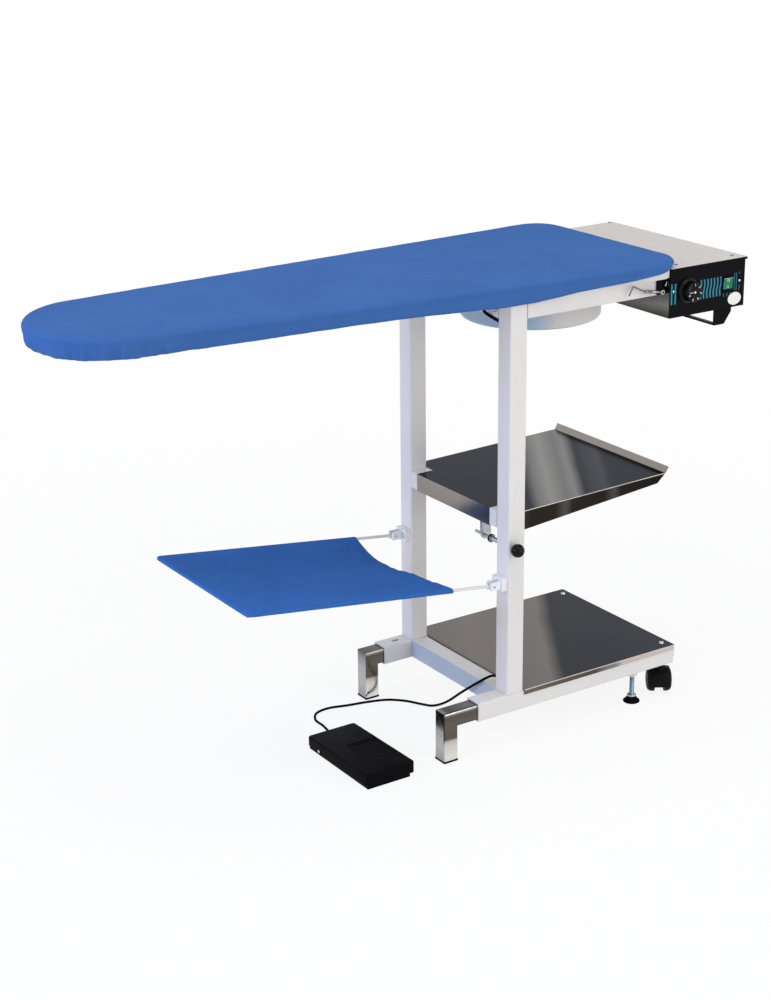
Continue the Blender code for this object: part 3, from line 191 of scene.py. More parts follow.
def mixColours(finish, amount, first, second):
    return addNode(finish, "Mix", {0: amount, 6: first, 7: second}, data_type="RGBA").outputs[2]


def makePaintedReflectionMetal(name, faces, roughness, glance, stretch=(14, 700, 14), strength=0.04):
    # Metal with reflections of the room painted into its colour in bands, and lit and shaded copies for the
    # top, front and side faces; faces holds the bands of top, front and side
    finish = makeFinish(name, faces[0][4][0][1], roughness, 1.0)
    top, front, side = [rampOf(finish, stops, alongAt(finish, direction, low, high, warp))
                        for direction, low, high, warp, stops in faces]
    upright = mixColours(finish, facing(finish, (0, -1, 0), 0.35, 0.65), side, front)
    intoShader(finish, "Base Color", mixColours(finish, facing(finish, (0, 0, 1), 0.45, 0.8), upright, top))
    shaderOf(finish).inputs["Specular Tint"].default_value = (glance, glance, glance, 1)
    lines = noiseAt(finish, 1.0, stretch)
    varyRoughness(finish, roughness - 0.05, roughness + 0.06, lines)
    addBump(finish, lines, strength)
    return finish


def weaveAt(finish, threads):
    waves = [addNode(finish, "TexWave", {"Vector": placeOf(finish), "Scale": threads, "Distortion": 0.6,
                                         "Detail Scale": 2}, bands_direction=direction).outputs["Fac"]
             for direction in ("X", "Y")]
    return largerOf(finish, *waves)


def makeCloth(name, colour, deep, threads=420, sheen=0.0):
    finish = makeFinish(name, colour, 0.8)
    shader = shaderOf(finish)
    shader.inputs["Sheen Weight"].default_value = sheen
    shader.inputs["Sheen Roughness"].default_value = 0.5
    shader.inputs["Specular IOR Level"].default_value = 0.05
    varyColour(finish, [(0.3, deep), (0.7, colour)], noiseAt(finish, 9, detail=6))
    varyRoughness(finish, 0.72, 0.88, noiseAt(finish, 35))
    addBump(finish, weaveAt(finish, threads), 0.25, 0.0003)
    addBump(finish, noiseAt(finish, 60, detail=5), 0.18, 0.0012)
    return finish


def makePaint(name, colour, shade):
    finish = makeFinish(name, colour, 0.42)
    varyColour(finish, [(0.25, shade), (0.6, colour)], noiseAt(finish, 5, detail=3))
    varyRoughness(finish, 0.36, 0.50, noiseAt(finish, 25))
    addBump(finish, noiseAt(finish, 900, detail=2), 0.08)
    return finish


def makePaintedBlueLight(name, colour, tint, spread):
    # Paint with blue light painted into its colour where spread is low: a painted reflection of the blue
    # cloth beside the drum, and painted blue light on the cross tube's faces turned to -x
    finish = makeFinish(name, colour, 0.36)
    varyColour(finish, [(0.0, tint), (0.55, tint), (0.9, colour), (1.0, colour)], spread(finish))
    varyRoughness(finish, 0.30, 0.42, noiseAt(finish, 25))
    addBump(finish, noiseAt(finish, 900, detail=2), 0.08)
    return finish


def makeMetal(name, colour, shade, roughness, scale=90):
    finish = makeFinish(name, colour, roughness, 1.0)
    varyColour(finish, [(0.3, shade), (0.65, colour)], noiseAt(finish, scale * 0.3, detail=3))
    varyRoughness(finish, roughness - 0.05, roughness + 0.08, noiseAt(finish, scale))
    addBump(finish, noiseAt(finish, scale * 6, detail=3), 0.05)
    return finish


def makePlastic(name, colour, shade, roughness, grain=900, strength=0.04, shine=0.5):
    finish = makeFinish(name, colour, roughness)
    shaderOf(finish).inputs["Specular IOR Level"].default_value = shine
    varyColour(finish, [(0.3, shade), (0.7, colour)], noiseAt(finish, 40))
    varyRoughness(finish, roughness - 0.06, roughness + 0.08, noiseAt(finish, 120))
    addBump(finish, noiseAt(finish, grain, detail=2), strength)
    return finish


# Painted reflections: bands of the room painted into the metals' colour, each given as direction, low, high,
# warp and (place, colour) along it
slate, warmGrey, midBand = (0.018, 0.022, 0.034), (0.178, 0.162, 0.154), (0.20, 0.198, 0.202)
darkFront = (0.026, 0.022, 0.018)
# These bands are painted reflections of the room
across = (0.837, -0.547, 0)  # the room's bands run askew over both shelves
upward, alongX = (0, 0, 1), (1, 0, 0)
shelfTop = (across, 0.0184, 0.5584, 0.012, [
    (0.36, slate), (0.45, slate), (0.485, midBand), (0.53, (0.31, 0.305, 0.30)), (0.585, midBand),
    (0.618, (0.26, 0.255, 0.25)), (0.636, (0.15, 0.15, 0.156)), (0.655, slate), (0.70, (0.045, 0.050, 0.065)),
    (0.735, (0.055, 0.060, 0.074)), (0.76, slate), (1.0, (0.014, 0.018, 0.029))])
shelfFront = (alongX, 0.14, 0.54, 0.01, [
    (0.0, (0.10, 0.09, 0.08)), (0.15, (0.024, 0.020, 0.016)), (0.30, darkFront), (0.36, (0.085, 0.077, 0.07)),
    (0.40, darkFront), (0.60, (0.022, 0.019, 0.016)), (0.66, (0.075, 0.070, 0.064)),
    (0.70, (0.022, 0.019, 0.017)), (1.0, (0.014, 0.013, 0.012))])
shelfSide = (upward, 0.42, 0.50, 0.0, [(0.0, (0.25, 0.228, 0.213)), (1.0, (0.33, 0.30, 0.285))])
lowTop = (across, 0.0184, 0.5784, 0.016, [
    (0.0, (0.130, 0.118, 0.112)), (0.25, warmGrey), (0.42, (0.155, 0.141, 0.134)), (0.515, warmGrey),
    (0.565, (0.018, 0.020, 0.028)), (0.75, (0.017, 0.019, 0.028)), (1.0, (0.022, 0.025, 0.036))])
lowFront = (alongX, 0.187, 0.568, 0.008, [
    (0.0, (0.16, 0.135, 0.11)), (0.18, (0.12, 0.10, 0.082)), (0.46, (0.085, 0.070, 0.055)),
    (0.52, (0.18, 0.175, 0.175)), (0.60, (0.24, 0.235, 0.235)), (0.64, (0.55, 0.48, 0.425)),
    (1.0, (0.60, 0.52, 0.46))])
lowSide = (upward, 0.08, 0.11, 0.0, [(0.0, (0.17, 0.16, 0.155)), (1.0, (0.26, 0.25, 0.245))])
legTop = (alongX, 0.0, 0.15, 0.006, [
    (0.0, (0.30, 0.29, 0.28)), (0.12, (0.05, 0.05, 0.06)), (0.45, (0.13, 0.125, 0.125)),
    (0.75, (0.06, 0.06, 0.065)), (1.0, (0.045, 0.045, 0.05))])
legFront = (upward, 0.0, 0.106, 0.006, [
    (0.0, (0.66, 0.62, 0.58)), (0.10, (0.74, 0.70, 0.66)), (0.33, (0.62, 0.60, 0.58)),
    (0.42, (0.50, 0.48, 0.46)), (0.47, (0.115, 0.098, 0.080)), (0.75, (0.125, 0.108, 0.090)),
    (0.90, (0.10, 0.088, 0.076)), (0.97, (0.5, 0.48, 0.46))])
legSide = (upward, 0.0, 0.106, 0.004, [
    (0.0, (0.30, 0.29, 0.30)), (0.30, (0.46, 0.45, 0.46)), (0.65, (0.42, 0.41, 0.43)),
    (0.85, (0.27, 0.27, 0.29)), (0.96, (0.13, 0.13, 0.145))])
boxSide = (upward, 0.795, 0.892, 0.006, [
    (0.0, (0.05, 0.046, 0.042)), (0.08, (0.10, 0.094, 0.088)), (0.26, (0.26, 0.245, 0.23)),
    (0.42, (0.24, 0.226, 0.212)), (0.62, (0.14, 0.132, 0.124)), (1.0, (0.09, 0.085, 0.08))])

finishes = {
    "whitePaint": makePaint("White paint", (0.72, 0.70, 0.69), (0.68, 0.665, 0.66)),
    "trayPaint": makePaint("Tray paint", (0.64, 0.62, 0.61), (0.58, 0.565, 0.56)),
    # The next four metals have painted reflections and lit and shaded face copies in their colour
    "chrome": makePaintedReflectionMetal("Chrome tube with painted reflections", (legTop, legFront, legSide), 0.15, 0.8, (60, 60, 60), 0.02),
    "brushedSteel": makePaintedReflectionMetal("Brushed shelf with painted reflections", (shelfTop, shelfFront, shelfSide), 0.20, 0.62),
    "lowerSteel": makePaintedReflectionMetal("Brushed lower shelf with painted reflections", (lowTop, lowFront, lowSide), 0.24, 0.75),
    "boxSteel": makePaintedReflectionMetal("Brushed box with painted reflections", (boxSide, boxSide, boxSide), 0.26, 0.8, (700, 14, 700)),
    "zincSteel": makeMetal("Zinc plate", (0.52, 0.54, 0.57), (0.34, 0.36, 0.40), 0.26),
    "blueZinc": makeMetal("Blue zinc", (0.24, 0.34, 0.42), (0.10, 0.15, 0.20), 0.24),
    "darkWire": makeMetal("Latch steel", (0.30, 0.30, 0.32), (0.12, 0.12, 0.13), 0.22),
    # Pale metal for the strips that stand as painted highlights along the shelves' folds; the switch brow
    # uses it too
    "paleFold": makeMetal("Pale metal for painted fold highlights", (0.66, 0.60, 0.55), (0.52, 0.47, 0.43), 0.2, 40),
    # Drum paint darkened as painted shade under the board, with a painted reflection of the blue cloth on its
    # left part
    "drumPaintShadeAndReflection": makePaintedBlueLight("Drum paint with painted shade and reflection", (0.53, 0.515, 0.51), (0.33, 0.46, 0.62),
                            lambda finish: alongAt(finish, alongX, 0.05, 0.15, 0.02)),
    # Cross tube paint with painted blue light on its faces turned to -x
    "crossPaintAndBlueLight": makePaintedBlueLight("Cross tube paint with painted blue light", (0.72, 0.70, 0.69), (0.44, 0.51, 0.61),
                             lambda finish: facing(finish, alongX, -1, -0.3)),
    "casterBlack": makePlastic("Caster black", (0.0075, 0.0068, 0.0065), (0.005, 0.0045, 0.0045), 0.42, 700,
                               0.08, 0.06),
    "blackPlastic": makePlastic("Black plastic", (0.0045, 0.0045, 0.0062), (0.003, 0.003, 0.004), 0.42, 1400,
                                0.12, 0.02),
    "glossBlack": makePlastic("Gloss black", (0.0032, 0.0032, 0.0042), (0.002, 0.002, 0.003), 0.12, 500,
                              0.02, 0.14),
    "blackRubber": makePlastic("Black rubber", (0.005, 0.005, 0.007), (0.003, 0.003, 0.0045), 0.6, 900,
                               0.2, 0.02),
    "blackPanel": makePlastic("Black enamel", (0.0042, 0.0042, 0.0060), (0.003, 0.003, 0.0042), 0.3, 800,
                              0.06, 0.05),
    "milkyPlastic": makePlastic("Milky plastic", (0.80, 0.81, 0.84), (0.73, 0.745, 0.78), 0.28, 300, 0.05),
    "lidSteel": makePlastic("Lid coat", (0.585, 0.555, 0.535), (0.55, 0.52, 0.50), 0.5, 1100, 0.35, 0.2),
    "coverCloth": makeCloth("Cover cloth", (0.051, 0.143, 0.400), (0.044, 0.126, 0.362)),
    "rackCloth": makeCloth("Rack cloth", (0.036, 0.142, 0.46), (0.030, 0.122, 0.41), 380),
    "feltGrey": makeCloth("Felt", (0.46, 0.45, 0.43), (0.38, 0.37, 0.36), 120, 0.3),
    "switchGreen": makePlastic("Green lens", (0.004, 0.17, 0.085), (0.0, 0.11, 0.055), 0.2, 200, 0.05, 0.25),
    "tealInk": makePlastic("Teal ink", (0.0, 0.23, 0.33), (0.0, 0.19, 0.28), 0.45),
    "deepTeal": makePlastic("Deep teal ink", (0.0, 0.13, 0.19), (0.0, 0.10, 0.15), 0.45),
    "whiteInk": makePlastic("White ink", (0.80, 0.80, 0.79), (0.72, 0.72, 0.71), 0.45),
    "paleLabel": makePlastic("Pale label", (0.80, 0.81, 0.80), (0.75, 0.76, 0.75), 0.5, 500, 0.05),
}
shaderOf(finishes["switchGreen"]).inputs["Emission Color"].default_value = (0.02, 0.55, 0.25, 1)
shaderOf(finishes["switchGreen"]).inputs["Emission Strength"].default_value = 0.10

slotFinishes = {  # the slot's own finish comes first, then those of single pieces
    "white_paint": ("whitePaint", "drumPaintShadeAndReflection", "crossPaintAndBlueLight"),
    "tray_paint": ("trayPaint",),
    "chrome": ("chrome",),
    "brushed_steel": ("brushedSteel", "lowerSteel", "boxSteel", "paleFold"),
    "zinc_steel": ("zincSteel", "blueZinc", "darkWire"),
    "black_plastic": ("blackPlastic", "glossBlack", "casterBlack"),
    "black_rubber": ("blackRubber",),
    "black_panel": ("blackPanel", "tealInk", "deepTeal", "whiteInk"),
    "milky_plastic": ("milkyPlastic", "paleLabel"),
    "lid_steel": ("lidSteel",),
    "cover_blue": ("coverCloth",),
    "rack_blue": ("rackCloth",),
    "felt_grey": ("feltGrey",),
    "switch_green": ("switchGreen",),
}
ownFinish = {"Lower_shelf": "lowerSteel", "Box_shell": "boxSteel", "Lower_cross_tube": "crossPaintAndBlueLight"}

for entry in frame["record"]["subparts"]:
    node = frame["nodes"][entry["node"]]
    finishName = ownFinish.get(entry["node"], slotFinishes[entry["material_slot"]][0])
    node.data.materials.clear()
    node.data.materials.append(finishes[finishName])
print("materials made")


# Building helpers

def place(name, data, finish, body, replaced=()):
    piece = addObject(name.replace(" ", "_"), data)
    piece.location = shift
    data.materials.append(finishes[finish])
    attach(piece, body)
    if replaced:
        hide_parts(*replaced)
    return piece


def finishMesh(name, bm, finish, body, replaced=(), sharp=35, fix=True):
    if fix:
        bmesh.ops.recalc_face_normals(bm, faces=bm.faces)
    mesh = bpy.data.meshes.new(name)
    bm.to_mesh(mesh)
    bm.free()
    mesh.shade_smooth()
    mesh.set_sharp_from_angle(angle=math.radians(sharp))
    return place(name, mesh, finish, body, replaced)


def faceUp(bm, height):
    # Turns all faces together, so that height(bm) comes out above 0
    bmesh.ops.recalc_face_normals(bm, faces=bm.faces)
    if height(bm) < 0:
        bmesh.ops.reverse_faces(bm, faces=bm.faces)


def addRings(bm, rings, caps=(True, True), joined=False):
    rows = [[bm.verts.new(point) for point in ring] for ring in rings]
    pairs = list(zip(rows, rows[1:])) + ([(rows[-1], rows[0])] if joined else [])
    for lower, upper in pairs:
        for i in range(len(lower)):
            j = (i + 1) % len(lower)
            bm.faces.new((lower[i], lower[j], upper[j], upper[i]))
    if not joined:
        for row, wanted in zip((rows[0], rows[-1]), caps):
            if wanted:
                bm.faces.new(row)


def addTurned(bm, base, axis, profile, steps=32, joined=False, wave=None):
    # Turned form of (radius, height) points; wave(angle, height) adds to the radius
    axis = Vector(axis).normalized()
    side = axis.orthogonal().normalized()
    other = axis.cross(side)
    rings = []
    for radius, height in profile:
        ring = []
        for i in range(steps):
            angle = math.tau * i / steps
            reach = radius + (wave(angle, height) if wave else 0)
            out = side * math.cos(angle) + other * math.sin(angle)
            ring.append(Vector(base) + axis * height + out * reach)
        rings.append(ring)
    addRings(bm, rings, joined=joined)


def addBlock(bm, low, high, edge=0.0, steps=2):
    low, high = Vector(low), Vector(high)
    spot = Matrix.Translation((low + high) / 2) @ Matrix.Diagonal((*(high - low), 1))
    made = bmesh.ops.create_cube(bm, size=1, matrix=spot)
    if edge:
        edges = {e for v in made["verts"] for e in v.link_edges}
        bmesh.ops.bevel(bm, geom=list(edges), offset=edge, segments=steps, profile=0.5, affect="EDGES")


def ringPiece(name, rings, finish, body, replaced=(), sharp=35):
    bm = bmesh.new()
    addRings(bm, rings)
    return finishMesh(name, bm, finish, body, replaced, sharp)


def turnedPiece(name, base, axis, profile, steps, finish, body, replaced=(), sharp=35, joined=False,
                wave=None):
    bm = bmesh.new()
    addTurned(bm, base, axis, profile, steps, joined, wave)
    return finishMesh(name, bm, finish, body, replaced, sharp)


def blockPiece(name, blocks, finish, body, edge=0.0, steps=2):
    bm = bmesh.new()
    for low, high in blocks:
        addBlock(bm, low, high, edge, steps)
    return finishMesh(name, bm, finish, body)


def cutAway(piece, cutter):
    cut = piece.modifiers.new("Cut", "BOOLEAN")
    cut.operation = "DIFFERENCE"
    cut.object = cutter
    cut.solver = "EXACT"
    with bpy.context.temp_override(object=piece, active_object=piece, selected_objects=[piece]):
        bpy.ops.object.modifier_apply(modifier=cut.name)
    bpy.data.objects.remove(cutter, do_unlink=True)


def thicken(piece, name, thickness, offset):
    skin = piece.modifiers.new(name, "SOLIDIFY")
    skin.thickness = thickness
    skin.offset = offset


def wirePiece(name, points, radius, finish, body, replaced=(), steps=4):
    curve = bpy.data.curves.new(name, "CURVE")
    curve.dimensions = "3D"
    curve.bevel_depth = radius
    curve.bevel_resolution = steps
    curve.use_fill_caps = True
    curve.resolution_u = 1
    spline = curve.splines.new("POLY")
    spline.points.add(len(points) - 1)
    for point, spot in zip(spline.points, points):
        point.co = (*spot, 1)
    return place(name, curve, finish, body, replaced)


def smoothRoute(points, step):
    points = [Vector(point) for point in points]
    ends = [points[0] * 2 - points[1]] + points + [points[-1] * 2 - points[-2]]
    fine = []
    for p0, p1, p2, p3 in zip(ends, ends[1:], ends[2:], ends[3:]):
        for k in range(20):
            t = k / 20
            fine.append(((p1 * 2) + (p2 - p0) * t + (p0 * 2 - p1 * 5 + p2 * 4 - p3) * t * t
                         + (p1 * 3 - p0 - p2 * 3 + p3) * t * t * t) / 2)
    fine.append(points[-1])
    return evenly(fine, step, False)


def evenly(points, step, closed):
    line = [Vector(point) for point in points]
    if closed:
        line.append(line[0])
    lengths = [0]
    for a, b in zip(line, line[1:]):
        lengths.append(lengths[-1] + (b - a).length)
    count = max(2, round(lengths[-1] / step))
    even = []
    i = 0
    for k in range(count if closed else count + 1):
        want = lengths[-1] * k / count
        while i < len(line) - 2 and lengths[i + 1] < want:
            i += 1
        part = lengths[i + 1] - lengths[i]
        even.append(line[i].lerp(line[i + 1], (want - lengths[i]) / part if part else 0))
    return even


def boxRing(x0, x1, y0, y1, z):
    return [(x0, y0, z), (x1, y0, z), (x1, y1, z), (x0, y1, z)]


def roundedLoop(halfWide, halfTall, corner):
    points = []
    for sx, sy, start in ((1, -1, -90), (1, 1, 0), (-1, 1, 90), (-1, -1, 180)):
        for k in range(6):
            a = math.radians(start + 18 * k)
            points.append((sx * (halfWide - corner) + corner * math.cos(a),
                           sy * (halfTall - corner) + corner * math.sin(a)))
    return points


def quarter(steps):
    # Angles of a quarter turn
    return [math.pi / 2 * k / steps for k in range(steps + 1)]


def fade(value, start, length):
    # 0 up to the start and 1 past the length, eased between
    t = min(1, max(0, (value - start) / length))
    return t * t * (3 - 2 * t)


def bell(value, middle, width):
    return math.exp(-((value - middle) / width) ** 2)


def ripple(x, y, z):
    return noise.noise(Vector((x, y, z)))


# Pedal cord, from the pedal's gland to the grommet in the front post

cordFacts = {
    "radius": 0.0025,
    "start": (-0.262, 0.2143, 0.010),
    "end": (0.012, 0.0416, 0.126),
    "route": [
        (-0.2540, 0.2420, 0.0052), (-0.2475, 0.2720, 0.0028), (-0.2460, 0.3020, 0.0027),
        (-0.2280, 0.3270, 0.0027), (-0.1960, 0.3330, 0.0027), (-0.1580, 0.3225, 0.0027),
        (-0.1160, 0.3130, 0.0027), (-0.0780, 0.2990, 0.0027), (-0.0500, 0.2730, 0.0027),
        (-0.0340, 0.2430, 0.0034), (-0.0270, 0.2090, 0.0110), (-0.0220, 0.1700, 0.0330),
        (-0.0160, 0.1280, 0.0680), (-0.0070, 0.0880, 0.1010), (0.0060, 0.0620, 0.1220),
    ],
    "reliefAxis": (0.0045, 0.0277, -0.0048),
    "relief": [
        (0.0030, 0), (0.0046, 0.0001), (0.0046, 0.0032), (0.0042, 0.0038), (0.0038, 0.0039), (0.0040, 0.0050),
        (0.0036, 0.0075), (0.0038, 0.0078), (0.0038, 0.0086), (0.0034, 0.0090), (0.0034, 0.0118),
        (0.0036, 0.0121), (0.0035, 0.0129), (0.0031, 0.0133), (0.0030, 0.0170), (0.0027, 0.0180),
    ],
}


def layPedalCord():
    start, end = Vector(cordFacts["start"]), Vector(cordFacts["end"])
    lead = Vector((0, 2 * cordFacts["radius"], 0))
    points = [start] + smoothRoute([start + lead] + cordFacts["route"] + [end + lead], 0.006) + [end]
    cord = wirePiece("Pedal lead", points, cordFacts["radius"], "blackRubber", "table", ("Pedal_cord",), 5)
    turnedPiece("Pedal lead relief", start - Vector((0, 0.0009, 0)), cordFacts["reliefAxis"],
                cordFacts["relief"], 24, "blackRubber", "table")


layPedalCord()


# Floor, backdrop and light

stage = {"radii": (9, 3, 0.5), "low": -0.0002, "grey": 0.86, "near": 0.9, "far": 3.0, "nearWhite": 0.88,
         "worldLight": 0.62}

lampFacts = [  # name, place, aim, size, power, colour
    ("Key", (1.6, -3.4, 2.6), (0.1, 0, 0.5), 2.4, 28, (1, 0.985, 0.965)),
    ("Low front", (1.4, -4.0, 0.7), (0.1, 0, 0.5), 2.0, 27, (1, 0.98, 0.96)),
    ("Top", (-0.4, -0.6, 4.2), (0, 0, 0.8), 2.6, 44, (1, 1, 1)),
    ("Side", (-4.0, 0.4, 1.9), (0, 0, 0.5), 2.0, 84, (0.60, 0.68, 1)),
]


def raysOf(owner, *kinds):
    # 1 for a ray of one of the kinds
    rays = addNode(owner, "LightPath", {}).outputs
    found = rays[f"Is {kinds[0]} Ray"]
    for kind in kinds[1:]:
        found = largerOf(owner, found, rays[f"Is {kind} Ray"])
    return found


def setFloor():
    bm = bmesh.new()
    turns = [math.tau * i / 48 for i in range(48)]
    addRings(bm, [[(radius * math.cos(a), radius * math.sin(a), stage["low"]) for a in turns]
                  for radius in stage["radii"]], (False, True))
    mesh = bpy.data.meshes.new("Floor")
    bm.to_mesh(mesh)
    bm.free()
    finish = makeFinish("Pale floor", (stage["grey"],) * 3, 0.7)
    varyRoughness(finish, 0.66, 0.74, noiseAt(finish, 3))
    away = addNode(finish, "VectorMath", {0: placeOf(finish)}, operation="LENGTH").outputs["Value"]
    white = rangeOf(finish, away, stage["near"], stage["far"], stage["nearWhite"])
    share = addNode(finish, "Math", {0: white, 1: raysOf(finish, "Camera", "Glossy")}, operation="MULTIPLY")
    glow = addNode(finish, "Emission", {})
    mix = addNode(finish, "MixShader", {"Fac": share.outputs["Value"], 1: shaderOf(finish).outputs["BSDF"],
                                        2: glow.outputs["Emission"]})
    surface = finish.node_tree.nodes["Material Output"].inputs["Surface"]
    finish.node_tree.links.new(mix.outputs["Shader"], surface)
    mesh.materials.append(finish)
    addObject("Floor", mesh)


def setWorld():
    world = bpy.data.worlds.new("Studio")
    bpy.context.scene.world = world
    world.use_nodes = True
    back = world.node_tree.nodes["Background"]
    back.inputs["Color"].default_value = (1, 1, 1, 1)
    strength = rangeOf(world, raysOf(world, "Camera", "Glossy", "Transmission"), 0, 1, stage["worldLight"])
    world.node_tree.links.new(strength, back.inputs["Strength"])


def setLamps():
    for name, spot, aim, size, power, colour in lampFacts:
        data = bpy.data.lights.new(name, "AREA")
        data.shape = "DISK"
        data.size = size
        data.energy = power
        data.color = colour
        lamp = addObject(name, data)
        lamp.location = spot
        lamp.rotation_euler = (Vector(aim) - Vector(spot)).to_track_quat("-Z", "Y").to_euler()


setFloor()
setWorld()
setLamps()
bpy.context.scene.view_settings.view_transform = "Standard"
print("camera, floor and light set")


# Board cover and pad

board = {
    "half": 0.196, "taper": 0.0697, "drift": 0.018, "top": 0.9137, "right": 0.372, "corner": 0.058,
    "noseTip": 0.838, "noseStart": 0.700, "nosePower": 1.8, "post": (-0.11, 0.16),
    "round": 0.010, "side": 0.0272, "tuck": 0.009, "cloth": 0.0014, "step": 0.0042, "rim": 0.026,
    "shares": (0.97, 0.85, 0.7, 0.54, 0.4, 0.27, 0.16, 0.08),  # rings from the spine to the rim
    "hem": [
        (-0.838, 0.8694), (-0.790, 0.8704), (-0.740, 0.8722), (-0.640, 0.8733), (-0.500, 0.8729),
        (-0.340, 0.8743), (-0.230, 0.8736), (-0.170, 0.8722), (-0.070, 0.8690), (-0.030, 0.8665),
        (0.010, 0.8675), (0.050, 0.8682), (0.094, 0.8722), (0.137, 0.8762), (0.200, 0.8792),
        (0.262, 0.8825), (0.3544, 0.8915), (0.372, 0.8915)],
    "turnedIn": ((0.0035, 0.0004), (0.006, 0.003), (0.0065, 0.009)),  # inwards, up from the hem
    "gatherNose": 0.0068, "gatherSide": 0.0011, "gatherPost": 0.0028, "beatWide": 0.021, "beatPost": 0.0115,
    "gatherFade": (0.50, 0.22), "pinchFade": (0.55, 0.20), "noseFade": (0.62, 0.20),  # start and run
    "rollFade": (-0.74, 0.24), "rollNose": 0.15, "endFade": (0.27, 0.08), "noseLift": 0.009, "noseTuck": 0.55,
    "sideSteps": 9, "tuckSteps": 6, "trayGap": 0.0103, "trayLow": 0.8745,
    "felt": [(0.030, 0.9107), (0.0135, 0.9106), (0.0105, 0.9098), (0.0072, 0.9078), (0.0052, 0.9056),
             (0.0048, 0.9046)],  # inwards, height
}


def boardWidth(x):
    return board["half"] + board["taper"] * x


def boardLoop():
    points = []
    noseStart, tip, right, corner = board["noseStart"], board["noseTip"], board["right"], board["corner"]
    for a in quarter(200)[:0:-1]:
        x = -noseStart - (tip - noseStart) * math.sin(a) ** (2 / board["nosePower"])
        points.append((x, -boardWidth(-noseStart) * math.cos(a)))
    points.append((-noseStart, -boardWidth(-noseStart)))
    endHalf = boardWidth(right - corner)
    points += [(right - corner * (1 - math.sin(a)), -endHalf + corner * (1 - math.cos(a)))
               for a in quarter(40)]
    loop = points + [(x, -y) for x, y in points[:0:-1]]
    return evenly([(x, midY - board["drift"] * x + y, 0) for x, y in loop], board["step"], True)


def hemHeight(x):
    table = board["hem"]
    x = max(x, table[0][0])
    for (x0, z0), (x1, z1) in zip(table, table[1:]):
        if x <= x1:
            return z0 + (z1 - z0) * (x - x0) / (x1 - x0)
    return table[-1][1]


def gatherDepth(x, front):
    nose = board["gatherNose"] * fade(-x, *board["gatherFade"])
    post = board["gatherPost"] * bell(x, *board["post"]) * (1 if front else 0.7)
    end = board["gatherPost"] * fade(x, *board["endFade"])
    return max(board["gatherSide"], nose, post, end)


def rollAt(x):
    # The rim's roll is flatter at the nose
    return board["rollNose"] + (1 - board["rollNose"]) * fade(x, *board["rollFade"])


def crownPoint(point, turn, share):
    spineX = min(max(point.x, -board["noseStart"] + 0.01), board["right"] - 0.16)
    spine = Vector((spineX, midY - board["drift"] * spineX, 0))
    spot = (point + turn * board["rim"]).lerp(spine, (share - 0.08) / 0.92)
    lift = ripple(spot.x * 9, spot.y * 14, 0.3) * 0.0007 + ripple(spot.x * 26, spot.y * 22, 5) * 0.00025
    return (spot.x, spot.y, board["top"] + 0.0006 + lift)


def rimPoint(point, turn, arc, inset, bulge):
    ridge = ripple(arc * 11, 2, 7) * 0.0007
    pinch = ripple(arc * 70, 1, 3) * 0.0006 * fade(-point.x, *board["pinchFade"])
    swell = -0.0014 * rollAt(point.x) * fade(-bulge, 0, 0.0095)
    spot = point + turn * (inset + ridge + pinch + swell)
    return (spot.x, spot.y, board["top"] + bulge + ripple(spot.x * 26, spot.y * 22, 5) * 0.0004)


def skirtPoint(point, turn, arc, k):
    # Point of the side for the first steps, then of the part tucked in under the board
    noseShare = fade(-point.x, *board["noseFade"])
    hem = hemHeight(point.x) + ripple(arc * 22, 4, 9) * 0.0010 + ripple(arc * 75, 6, 2) * 0.0016 * noseShare
    high = board["top"] - board["round"]
    low = max(board["top"] - board["side"] + board["noseLift"] * noseShare, hem + 0.004)
    z, inset = high + (low - high) * k / board["sideSteps"], 0.0
    if k > board["sideSteps"]:
        a = math.pi / 2 * (k - board["sideSteps"]) / board["tuckSteps"]
        z = low + (hem - low) * math.sin(a)
        inset = board["tuck"] * (1 + board["noseTuck"] * noseShare) * (1 - math.cos(a))
    share = (high - z) / (high - hem)
    pull = gatherDepth(point.x, point.y < midY) * share ** 0.9 * (1 - 0.5 * fade(share, 0.72, 0.28))
    wide = board["beatPost"] if bell(point.x, *board["post"]) > 0.35 else board["beatWide"]
    beat = math.sin(arc * math.tau / wide + 2.4 * math.sin(arc * math.tau / 0.117))
    beat = 0.45 * beat + 0.9 * ripple(arc * 58, 3, share * 0.6)
    crease = max(0, 1 - 5 * abs(ripple(arc * 22, 8, share * 0.4)))
    drop = board["top"] - z
    inset += pull * (0.8 * beat + 0.8 * crease + 0.2)
    inset += rollAt(point.x) * (0.0026 * fade(drop, 0.013, 0.009) - 0.0014 * bell(drop, 0.0095, 0.005))
    inset = min(inset, board["trayGap"] + max(0, board["trayLow"] - z))  # stays outside the tray
    spot = point + turn * inset
    return (spot.x, spot.y, z)


